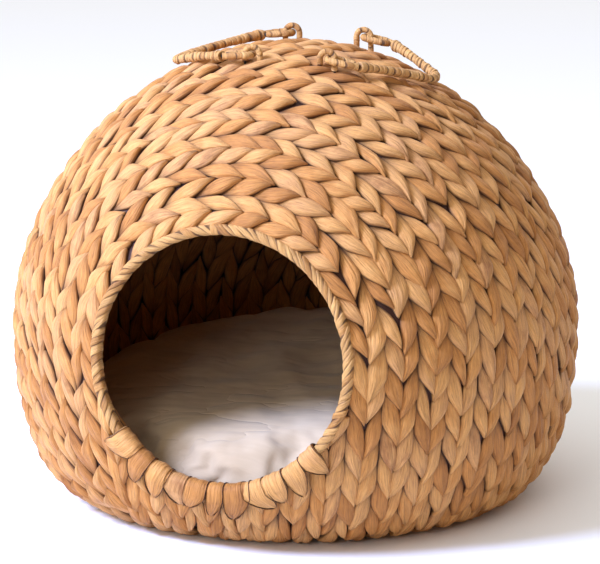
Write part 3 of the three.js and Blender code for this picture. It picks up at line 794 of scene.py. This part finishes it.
# How a strip is wound: its pitch, its ridge's height, its lean, and the points round one section.
RIM_STRIP = {"pitch": 7.5, "ridge": 0.6, "lean": 6.0, "around": 20}
BAIL_STRIP = {"pitch": 5.0, "ridge": 0.6, "lean": 2.2, "around": 14}
EYE_STRIP = {"pitch": 7.0, "ridge": 0.3, "lean": 2.4, "around": 12}
LOOP_STRIP = {"pitch": 7.0, "ridge": 0.25, "lean": 2.0, "around": 12}


def wind(builder, path, half_side, half_up, pitch, ridge, lean, around, power=2.0, closed=False):
    """Winds a strip round a path, which holds its points and its section's two directions."""
    rng = builder.rng
    centre, side, up = path
    distance = lengths_along(centre)
    total = distance[-1]
    count = max(int(round(total / pitch)), 2)
    widths = np.clip(rng.normal(1, WINDING_WIDTH_SPREAD, count), 0.5, 1.6)
    ends = np.concatenate([[0], np.cumsum(widths / widths.sum())]) * total
    places = (ends[:-1, None] + np.diff(ends)[:, None] * np.array(WINDING_PLACES)[None, :]).ravel()
    tall = np.clip(rng.normal(1, WINDING_HEIGHT_SPREAD, count), 0.3, 1.7)
    ridges = (tall[:, None] * np.array(WINDING_RIDGE)[None, :]).ravel()
    leans = np.repeat(lean * rng.normal(1, WINDING_LEAN_SPREAD, count), len(WINDING_PLACES))
    tone = np.repeat(rng.uniform(0, 1, count), len(WINDING_PLACES))
    number = np.repeat(rng.uniform(0, SEEDS, count), len(WINDING_PLACES))
    # Painted shade: each turn's groove, where its ridge is low, takes on some of the crevice colour.
    shade = np.clip(np.tile(WINDING_RIDGE, count) * 0.7 + 0.36, 0, 1)
    angle = full_turn(around)[None, :]
    s = places[:, None] + leans[:, None] * np.cos(angle)
    s = np.mod(s, total) if closed else np.clip(s, 0, total)
    wobble = 1 + WINDING_WOBBLE * np.sin(3 * angle + number[:, None])

    def at(values):
        """The path's values at each point of the winding."""
        if np.ndim(values) == 2:
            return np.stack([np.interp(s, distance, column) for column in values.T], -1)
        return np.interp(s, distance, np.broadcast_to(values, len(distance)))

    def section(wave):
        """A round section's wave, made squarer by a power over 2."""
        return np.sign(wave) * np.abs(wave) ** (2 / power)

    reach_side = (at(half_side) * wobble + ridge * ridges[:, None]) * section(np.cos(angle))
    reach_up = (at(half_up) * wobble + ridge * ridges[:, None]) * section(np.sin(angle))
    points = at(centre) + at(side) * reach_side[..., None] + at(up) * reach_up[..., None]
    round_it = angle * np.max(half_up)
    fibre = np.stack(np.broadcast_arrays(places[:, None], round_it, number[:, None]), -1)
    index = builder.add_points(points, fibre, tone[:, None], shade[:, None])
    wrapped = np.concatenate([index, index[:, :1]], 1)
    if closed:
        wrapped = np.concatenate([wrapped, wrapped[:1]], 0)
    builder.add_faces(grid_quads(wrapped))
    if closed:
        return
    for row in (0, -1):
        end = points[row].mean(0)[None, :]
        middle = builder.add_points(end, fibre[row, 0], tone[0], WINDING_END_SHADE)[0]
        builder.add_faces(np.stack([np.full(around, middle), wrapped[row, :-1], wrapped[row, 1:]], -1))


# ---- The bound rim ----

RIM_HALF_WIDTH = 4.0
RIM_HALF_DEPTH = 5.6
RIM_MIDDLE_DEPTH = -3.4
RIM_POINTS = 361
RIM_SQUARENESS = 2.7
RIM_WRAPS = 11
RIM_WRAP_HALF_ARC = math.radians(51)
RIM_WRAP_HALF_WIDTH = 10.6
# A wrap goes round the rim by (radius, depth), and down the wall by (mm past the rim, inset).
RIM_WRAP_RING = [
    (104.8, -13.5), (101.9, -10.5), (100.9, -6.0), (100.8, -1.5), (102.4, 2.2), (105.6, 4.0),
]
RIM_WRAP_WALL = [(1.0, -4.1), (5.0, -3.6), (10.0, -2.8), (14.5, -1.4), (18.5, 1.2)]
RIM_WRAP_TAPER = [0.9, 0.96, 1.0, 1.0, 1.0, 1.0, 0.97, 0.88, 0.68, 0.42, 0.1]
RIM_WRAP_REACH = 18.0
RIM_WRAP_LENGTH = 46.0
RIM_WRAP_THICKNESS = (2.1, 3.0)
RIM_WRAP_SINK = 1.2
RIM_WRAP_UNDER = 1.6
RIM_WRAP_FOLD = 0.22
RIM_WRAP_MIDDLE = (4, 4)
RIM_WRAP_SPREAD = {"middle": 0.012, "width": 0.13, "reach": 0.22, "skew": 0.055}


def rim_points(place, radius, depth):
    """Points at a radius round the mouth and a depth along its axis, from the wall's own edge."""
    edge = wall_points(mouth_direction(np.full(place.shape, RIM_TURN), place), 0)
    front = (edge - WEAVE_CENTRE) @ MOUTH_AXIS
    return WEAVE_CENTRE + (front + depth)[..., None] * MOUTH_AXIS + radius * mouth_outward(place)


def bound_rim():
    builder = Builder(95)
    place = np.linspace(0, 2 * math.pi, RIM_POINTS)
    centre = rim_points(place, RIM_RADIUS - RIM_HALF_WIDTH, RIM_MIDDLE_DEPTH)
    outward = mouth_outward(place)
    path = (centre, outward, np.broadcast_to(MOUTH_AXIS, outward.shape))
    wind(builder, path, RIM_HALF_WIDTH, RIM_HALF_DEPTH, **RIM_STRIP, power=RIM_SQUARENESS, closed=True)
    builder.make("bound_rim", bound_material, "mouth_binding")


def rim_wraps():
    """Wide leaves fold over the lower rim and run down into the apron."""
    builder = Builder(96)
    rng = builder.rng
    across = np.array(LEAF_ACROSS)
    crown = np.array(LEAF_CROWN)
    step = 2 * RIM_WRAP_HALF_ARC / RIM_WRAPS
    for number in range(RIM_WRAPS):
        middle = -RIM_WRAP_HALF_ARC + (number + 0.5) * step + rng.normal(0, RIM_WRAP_SPREAD["middle"])
        wide = RIM_WRAP_HALF_WIDTH * rng.normal(1.02, RIM_WRAP_SPREAD["width"])
        reach = rng.normal(1.0, RIM_WRAP_SPREAD["reach"])
        skew = rng.normal(0, RIM_WRAP_SPREAD["skew"])
        tone = rng.uniform(0, 1)
        widths = wide * np.array(RIM_WRAP_TAPER)[:, None] * across
        rows = []
        for (radius, depth), width in zip(RIM_WRAP_RING, widths):
            rows.append(rim_points(middle + width / RIM_CENTRE_RADIUS, radius, depth))
        for (past, inset), width in zip(RIM_WRAP_WALL, widths[len(RIM_WRAP_RING):]):
            angle = middle + skew * past / RIM_WRAP_REACH + width / (RIM_RADIUS + past)
            turn = np.full(angle.shape, RIM_TURN + past * reach / BODY_RADIUS)
            rows.append(wall_points(mouth_direction(turn, angle), inset))
        base = np.stack(rows)
        normal = np.cross(np.gradient(base, axis=0), np.gradient(base, axis=1))
        normal /= np.maximum(np.linalg.norm(normal, axis=-1), TINY)[..., None]
        if np.dot(normal[RIM_WRAP_MIDDLE], MOUTH_AXIS) < 0:
            normal = -normal
        fold = 1 + RIM_WRAP_FOLD * np.cos(across * rng.uniform(5, 9) + rng.uniform(0, 6))
        raised = rng.uniform(*RIM_WRAP_THICKNESS) * crown * fold - RIM_WRAP_SINK
        length = np.linspace(0, RIM_WRAP_LENGTH, len(base))[:, None]
        fibre = np.stack(np.broadcast_arrays(across * wide, length, 37.0 * number + 5), -1)
        # Painted shade: a wrap's edges take on some crevice colour, and its hidden underside the full
        # crevice colour.
        shade = np.broadcast_to(0.48 + 0.52 * crown, base.shape[:2])
        upper = builder.add_points(base + normal * raised[None, :, None], fibre, tone, shade)
        lower = builder.add_points(base - normal * RIM_WRAP_UNDER, fibre, tone, 0.0)
        builder.add_shell(upper, lower)
    builder.make("rim_wraps", leaf_material)


bound_rim()
rim_wraps()


# ---- Handles and their loops ----

# The leaf round a bail: its radius, the knot near each end, and its unevenness.
BAIL_RADIUS = 3.5
BAIL_KNOT = 1.1
BAIL_KNOT_PLACE = 6.0
BAIL_KNOT_LENGTH = 5.0
BAIL_UNEVEN = 0.25
EYE_RADIUS = 2.8
LOOP_LEAF_RADIUS = 2.5
LOOP_SINK = 1.0


def handle_points(side, out, along):
    """Points of a handle's centre line, from how far out and how far along the hinge they are."""
    drop = HANDLE_SLOPE[side] * out + out ** 2 / (2 * HANDLE_CURVE)
    height = BODY_HEIGHT - HINGE_BELOW_CROWN[side] + HINGE_RISE * along - drop
    return np.stack([
        HANDLE_CENTRE[0] + SIDE_WAY[side] * (HINGE_OUT + out),
        HANDLE_CENTRE[1] + along,
        height,
    ], -1)


def plan_line(start, end, count=24):
    t = np.linspace(0, 1, count)[:, None]
    return np.array(start) * (1 - t) + np.array(end) * t


def plan_arc(centre, radius, start, end, count=32):
    angle = np.linspace(start, end, count)
    return np.stack([centre[0] + radius * np.cos(angle), centre[1] + radius * np.sin(angle)], -1)


def path_frames(points):
    """A path that lies nearly level, with the directions across and upright to it."""
    tangent = tangents(points)
    across = np.cross(tangent, [0, 0, 1])
    across /= np.linalg.norm(across, axis=1)[:, None]
    return points, across, np.cross(across, tangent)


def bend_plan(side):
    bend = np.array([HANDLE_REACH[side] - HANDLE_BEND, 0.0])
    neck = np.array([EYE_NECK, HINGE_HALF_LENGTH])
    to_bend = bend - neck
    slant = math.atan2(-to_bend[1], to_bend[0]) - math.asin(HANDLE_BEND / np.linalg.norm(to_bend))
    touch = bend + HANDLE_BEND * np.array([math.sin(slant), math.cos(slant)])
    return bend, neck, slant, touch


def eye_plan():
    """The eye's centre line in plan: out of the bail's end, round the hinge and back again."""
    near = HINGE_HALF_LENGTH - EYE_HALF_WIDTH
    far = HINGE_HALF_LENGTH + EYE_HALF_WIDTH
    start = (EYE_NECK - 3.5, HINGE_HALF_LENGTH - 2.4)
    hinge = (EYE_HALF_WIDTH, HINGE_HALF_LENGTH)
    return np.concatenate([
        plan_line(start, (EYE_SIDE_END, near), 6)[:-1],
        plan_line((EYE_SIDE_END, near), (EYE_HALF_WIDTH, near), 10)[:-1],
        plan_arc(hinge, EYE_HALF_WIDTH, -math.pi / 2, -math.pi * 1.5)[:-1],
        plan_line((EYE_HALF_WIDTH, far), (EYE_SIDE_END, far), 10)[:-1],
        plan_line((EYE_SIDE_END, far), (EYE_NECK, HINGE_HALF_LENGTH + 1), 6),
    ])


def wound_handle(side, seed):
    body = f"{side}_handle"
    bend, neck, slant, touch = bend_plan(side)
    turn = math.pi / 2 - slant
    mirror = np.array([1.0, -1.0])
    plan = np.concatenate([
        plan_line(neck, touch)[:-1],
        plan_arc(bend, HANDLE_BEND, turn, -turn)[:-1],
        plan_line(touch * mirror, neck * mirror),
    ])
    points = handle_points(side, plan[:, 0], plan[:, 1])
    lengths = lengths_along(points)
    to_end = np.minimum(lengths, lengths[-1] - lengths)
    knot = BAIL_KNOT * np.exp(-((to_end - BAIL_KNOT_PLACE) / BAIL_KNOT_LENGTH) ** 2)
    thick = BAIL_RADIUS + knot + BAIL_UNEVEN * np.sin(lengths / 9)
    builder = Builder(seed)
    wind(builder, path_frames(points), thick, thick, **BAIL_STRIP)
    builder.make(f"{body}_wound_leaf", bound_material, f"{body}_binding", body)
    plan = eye_plan()
    for end, way in (("back", 1.0), ("front", -1.0)):
        points = handle_points(side, plan[:, 0], way * plan[:, 1])
        builder = Builder(builder.rng)
        wind(builder, path_frames(points), EYE_RADIUS, EYE_RADIUS, **EYE_STRIP)
        builder.make(f"{body}_{end}_wound_eye", bound_material, f"{body}_{end}_eye", body)


def wound_loop(side, end, along, seed):
    """A standing loop across the hinge, with its two feet in the weave."""
    hinge = handle_points(side, np.zeros(1), np.full(1, along))[0]
    feet = [hinge - ACROSS * LOOP_RADIUS, hinge + ACROSS * LOOP_RADIUS]
    ground = [crown_height(foot[0], foot[1]) - LOOP_SINK for foot in feet]
    angle = np.linspace(0, math.pi, 32)[:, None]
    arch = hinge - ACROSS * LOOP_RADIUS * np.cos(angle) + np.array([0, 0, LOOP_RADIUS]) * np.sin(angle)
    down = [np.linspace([foot[0], foot[1], level], foot, 8) for foot, level in zip(feet, ground)]
    points = np.concatenate([down[0][:-1], arch, down[1][::-1][1:]])
    along_hinge = np.broadcast_to(np.cross(ACROSS, [0, 0, 1]), points.shape)
    builder = Builder(seed)
    path = (points, along_hinge, np.cross(along_hinge, tangents(points)))
    wind(builder, path, LOOP_LEAF_RADIUS, LOOP_LEAF_RADIUS, **LOOP_STRIP)
    builder.make(f"{side}_{end}_wound_loop", bound_material, f"{side}_{end}_loop_binding")


for seed, side in enumerate(("left", "right")):
    wound_handle(side, 110 + seed)
    wound_loop(side, "back", HINGE_HALF_LENGTH, 120 + seed)
    wound_loop(side, "front", -HINGE_HALF_LENGTH, 130 + seed)


# ---- The wires inside the weave ----

def wire_look():
    n = Nodes("painted_wire")
    wear = n.noise(n.place(), 260.0, 4.0)
    tones = [(0.35, linear(44, 40, 36)), (0.62, linear(66, 60, 54)), (0.78, linear(104, 84, 62))]
    n.surface(
        Base_Color=n.ramp(wear, *tones),
        Roughness=n.ramp(wear, (0.3, grey(0.34)), (0.8, grey(0.6))),
        Metallic=0.6,
        Normal=n.bump(wear, 0.0002),
    )
    return n.material


def lining_look():
    n = Nodes("woven_lining")
    place = n.place()
    # Painted shade: the dark brown goes in the gaps between the threads.
    weave = n.maths("MAXIMUM", *n.threads(place, Scale=90.0, Distortion=1.2))
    base = n.ramp(n.noise(place, 24.0), (0.3, linear(112, 76, 46)), (0.7, linear(160, 116, 74)))
    n.surface(
        Base_Color=n.mix(weave, linear(52, 32, 18), base),
        Roughness=0.8,
        Normal=n.bump(weave, 0.0012),
    )
    return n.material


wire_material = wire_look()
lining_material = lining_look()
WIRE_WORDS = ("wire", "hoop", "rib_", "bar", "arch", "ring")
for node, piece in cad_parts.items():
    is_lining = node == "floor_lining"
    if is_lining or any(word in node for word in WIRE_WORDS):
        for material_slot in piece.material_slots:
            material_slot.material = lining_material if is_lining else wire_material


# ---- The cushion ----

CUSHION_RADIUS = 213.0
CUSHION_FOOT_RADIUS = 158.0
CUSHION_FOOT = 14.3
CUSHION_TOP = 100.0
CUSHION_SIDE = [(17.0, 0.2), (0.0, 0.45), (4.0, 0.8), (28.0, 0.985)]
CUSHION_SLOPE = (0.03, 0.125)
CUSHION_VOXEL = 5.5
CUSHION_CAP = 16.0
CUSHION_INSIDE = 2.5
CUSHION_SEGMENTS = 96
CUSHION_FRAMES = 20
# The ridges of the top cover: their spacing, their height and how many patches have them.
RIDGES = [(120.0, 1.6, 5), (64.0, 0.9, 7)]
RIDGE_FOOT = 62.0
RIDGE_RISE = 30.0
RIDGE_EDGE = 195.0
RIDGE_FADE = 70.0
RIDGE_REACH = 150.0
WALL_GAP = 1.0


def cushion_start():
    """The cushion's shape before it fills out: a little inside the space that it takes."""
    tall = CUSHION_TOP - CUSHION_FOOT
    bottom = CUSHION_FOOT + 1
    profile = [(0.5 * CUSHION_FOOT_RADIUS, bottom), (CUSHION_FOOT_RADIUS, bottom)]
    for inward, share in CUSHION_SIDE:
        height = CUSHION_FOOT + share * (tall - CUSHION_INSIDE)
        profile.append((CUSHION_RADIUS - inward - CUSHION_INSIDE, height))
    profile.append((0.55 * CUSHION_RADIUS, CUSHION_TOP - CUSHION_INSIDE))
    angle = full_turn(CUSHION_SEGMENTS)
    maker = bmesh.new()
    rings = []
    widest = CUSHION_FOOT + 0.45 * tall
    for radius, height in profile:
        x = radius * np.cos(angle)
        y = radius * np.sin(angle)
        share = max(height - widest, 0) / (CUSHION_TOP - widest)
        z = height + share * (CUSHION_SLOPE[0] * x + CUSHION_SLOPE[1] * y)
        rings.append([maker.verts.new(point) for point in np.stack([x * MM, y * MM, z * MM], -1)])
    for low, high in zip(rings, rings[1:]):
        for i in range(CUSHION_SEGMENTS):
            following = (i + 1) % CUSHION_SEGMENTS
            maker.faces.new((low[i], low[following], high[following], high[i]))
    maker.faces.new(rings[0][::-1])
    maker.faces.new(rings[-1])
    mesh = bpy.data.meshes.new("soft_cushion")
    maker.to_mesh(mesh)
    maker.free()
    return link_object("soft_cushion", mesh)


def apply_modifiers(piece):
    evaluated = piece.evaluated_get(bpy.context.evaluated_depsgraph_get())
    mesh = bpy.data.meshes.new_from_object(evaluated)
    piece.modifiers.clear()
    piece.data = mesh


def read_points(mesh):
    points = np.empty(len(mesh.vertices) * 3, np.float32)
    mesh.vertices.foreach_get("co", points)
    return points.reshape(-1, 3).astype(float)


def write_points(mesh, points):
    mesh.vertices.foreach_set("co", points.astype(np.float32).ravel())
    mesh.update()


def inner_radius(height):
    """The inner face's radius at each height, in millimetres."""
    elevation = np.linspace(-1.1, 1.2, 300)
    direction = np.stack([np.cos(elevation), 0 * elevation, np.sin(elevation)], -1)
    points = wall_points(direction, INNER_FACE + 1.5)
    return np.interp(height, points[:, 2], points[:, 0])


def fill_out(piece):
    """Blows the cover up like a filled cushion, and keeps each point's travel small."""
    before = read_points(piece.data)
    cloth = piece.modifiers.new("fill", "CLOTH")
    cloth.settings.use_pressure = True
    cloth.settings.uniform_pressure_force = 4.0
    cloth.settings.quality = 5
    cloth.settings.shrink_min = -0.05
    cloth.settings.tension_stiffness = 12.0
    cloth.settings.bending_stiffness = 0.4
    cloth.settings.effector_weights.gravity = 0.0
    scene = bpy.context.scene
    for number in range(1, CUSHION_FRAMES + 1):
        scene.frame_set(number)
    apply_modifiers(piece)
    scene.frame_set(1)
    after = read_points(piece.data)
    travel = after - before
    length = np.linalg.norm(travel, axis=1)
    limit = CUSHION_CAP * MM
    scale = np.where(length > 1e-9, limit * np.tanh(length / limit) / np.maximum(length, 1e-9), 1.0)
    write_points(piece.data, before + travel * scale[:, None])


def crease(points):
    """Soft ridges and folds in the top cover, and a flat underside inside the wall."""
    x, y, z = (points / MM).T
    out = np.hypot(x, y)
    top = np.clip((z - RIDGE_FOOT) / RIDGE_RISE, 0, 1) * np.clip((RIDGE_EDGE - out) / RIDGE_FADE, 0, 1)
    ridges = np.zeros(len(x))
    rng = np.random.default_rng(140)
    for size, height, count in RIDGES:
        for _ in range(count):
            heading = rng.uniform(0, math.pi)
            along = x * math.cos(heading) + y * math.sin(heading)
            across = -x * math.sin(heading) + y * math.cos(heading)
            deep = rng.uniform(0.1, 0.5) * size
            bend = deep * np.sin(along / (size * rng.uniform(1.2, 2.4)) + rng.uniform(0, 6))
            wave = np.sin((across + bend) * 2 * math.pi / size + rng.uniform(0, 6))
            from_x = x - rng.uniform(-RIDGE_REACH, RIDGE_REACH)
            from_y = y - rng.uniform(-RIDGE_REACH, RIDGE_REACH)
            patch = np.exp(-(from_x ** 2 + from_y ** 2) / (2 * (1.1 * size) ** 2))
            ridges += height * patch * (1 - 2 * np.abs(wave) ** 0.7)
    z = np.maximum(z + ridges * top, CUSHION_FOOT + 0.3)
    scale = np.minimum(1, (inner_radius(z) - WALL_GAP) / np.maximum(out, TINY))
    return np.stack([x * scale, y * scale, z], -1) * MM


def cushion_cover():
    """Unbleached cotton: crossed threads, faint clouds of tone, and fine creases."""
    n = Nodes("cotton_cover")
    place = n.place()
    threads = n.threads(place, Scale=420.0, Distortion=1.5, Detail=1.0)
    weave = n.maths("MULTIPLY", n.maths("ADD", *threads), 0.5)
    tones = [(0.3, linear(190, 165, 132)), (0.55, linear(208, 185, 152)), (0.8, linear(218, 198, 168))]
    base = n.ramp(n.noise(place, 9.0, 4.0), *tones)
    slub = n.noise(n.scaled(place, (40.0, 420.0, 40.0)), 1.0, 2.0)
    slubs = n.ramp(slub, (0.3, (0.82, 0.79, 0.74, 1)), (0.7, (1.04, 1.03, 1.02, 1)))
    # Painted shade: a slight darkening in the gaps between the threads.
    thread_gap_shade = n.ramp(weave, (0.2, (0.7, 0.66, 0.6, 1)), (0.8, grey(1)))
    crumple = n.noise(n.scaled(place, (7.0, 17.0, 12.0)), 1.0, 3.0, 0.6)
    folds = n.maths("POWER", n.maths("ABSOLUTE", n.maths("SUBTRACT", crumple, 0.5)), 0.6)
    n.surface(
        Base_Color=n.mix(0.10, n.mix(0.25, base, slubs, "MULTIPLY"), thread_gap_shade, "MULTIPLY"),
        Roughness=0.88,
        Sheen_Weight=0.25,
        Specular_IOR_Level=0.25,
        Normal=n.bump(weave, 0.00012, 0.6, n.bump(folds, 0.009, 0.55)),
    )
    return n.material


cushion = cushion_start()
remesh = cushion.modifiers.new("even", "REMESH")
remesh.mode = "VOXEL"
remesh.voxel_size = CUSHION_VOXEL * MM
apply_modifiers(cushion)
fill_out(cushion)
write_points(cushion.data, crease(read_points(cushion.data)))
smoother = cushion.modifiers.new("smooth", "SUBSURF")
smoother.levels = 1
smoother.render_levels = 1
apply_modifiers(cushion)
cushion.data.shade_smooth()
cushion.data.materials.clear()
cushion.data.materials.append(cushion_cover())
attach(cushion, "cushion")
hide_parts("cushion")


# ---- Stage, light and camera ----

CAMERA_TURN = math.radians(16.0)
CAMERA_RISE = math.radians(12.57)
CAMERA_DISTANCE = 2.317
CAMERA_LENS = 156.0
AIM_HEIGHT = 0.1604
AIM_UP = 0.0213
AIM_RIGHT = 0.0036
FLOOR_REACH = 6.0


def place_camera():
    camera = link_object("camera", bpy.data.cameras.new("camera"))
    away = Vector((
        math.sin(CAMERA_TURN) * math.cos(CAMERA_RISE),
        -math.cos(CAMERA_TURN) * math.cos(CAMERA_RISE),
        math.sin(CAMERA_RISE),
    ))
    right = Vector((math.cos(CAMERA_TURN), math.sin(CAMERA_TURN), 0))
    camera.location = Vector((0, 0, AIM_HEIGHT)) + away * CAMERA_DISTANCE
    aim = Vector((0, 0, AIM_HEIGHT + AIM_UP)) + right * AIM_RIGHT
    camera.rotation_euler = (aim - camera.location).to_track_quat("-Z", "Y").to_euler()
    camera.data.lens = CAMERA_LENS
    camera.data.sensor_width = 36.0
    camera.data.clip_end = 100.0
    bpy.context.scene.camera = camera


def area_light(name, location, target, size, power, colour):
    light = bpy.data.lights.new(name, "AREA")
    light.shape = "DISK"
    light.size = size
    light.energy = power
    light.color = colour
    lamp = link_object(name, light)
    lamp.location = location
    lamp.rotation_euler = (Vector(target) - Vector(location)).to_track_quat("-Z", "Y").to_euler()


def pale_floor():
    mesh = bpy.data.meshes.new("floor")
    maker = bmesh.new()
    bmesh.ops.create_grid(maker, x_segments=1, y_segments=1, size=FLOOR_REACH)
    maker.to_mesh(mesh)
    maker.free()
    floor = link_object("floor", mesh)
    n = Nodes("pale_floor")
    n.surface(Base_Color=grey(0.95), Roughness=0.9)
    mesh.materials.append(n.material)


# The way to the dimmer side, the light there, and where the fall to it starts and ends.
DIM_SIDE = (0.84, -0.5, -0.2)
DIM_LIGHT = (0.15, 0.09, 0.05, 1)
DIM_START = 0.1
DIM_END = 0.7
WORLD_STRENGTH = 1.05


def soft_world():
    """White all round, and dimmer and warmer to the right of the mouth."""
    world = bpy.data.worlds.new("studio")
    world.use_nodes = True
    tree = world.node_tree
    facing = tree.nodes.new("ShaderNodeVectorMath")
    facing.operation = "DOT_PRODUCT"
    facing.inputs[1].default_value = DIM_SIDE
    tree.links.new(tree.nodes.new("ShaderNodeTexCoord").outputs["Generated"], facing.inputs[0])
    fall = tree.nodes.new("ShaderNodeValToRGB")
    bright, dim = fall.color_ramp.elements
    bright.position = DIM_START
    bright.color = (1, 1, 0.99, 1)
    dim.position = DIM_END
    dim.color = DIM_LIGHT
    tree.links.new(facing.outputs["Value"], fall.inputs[0])
    background = tree.nodes["Background"]
    tree.links.new(fall.outputs[0], background.inputs["Color"])
    background.inputs["Strength"].default_value = WORLD_STRENGTH
    bpy.context.scene.world = world


place_camera()
area_light("key", (-1.5, -1.3, 1.9), (0, 0, 0.2), size=0.9, power=98, colour=(0.82, 1.01, 1.72))
area_light("front_fill", (-0.3, -2.6, 1.0), (0, 0, 0.15), size=0.8, power=9, colour=(1.0, 0.97, 0.94))
pale_floor()
soft_world()
bpy.context.scene.view_settings.view_transform = "Standard"
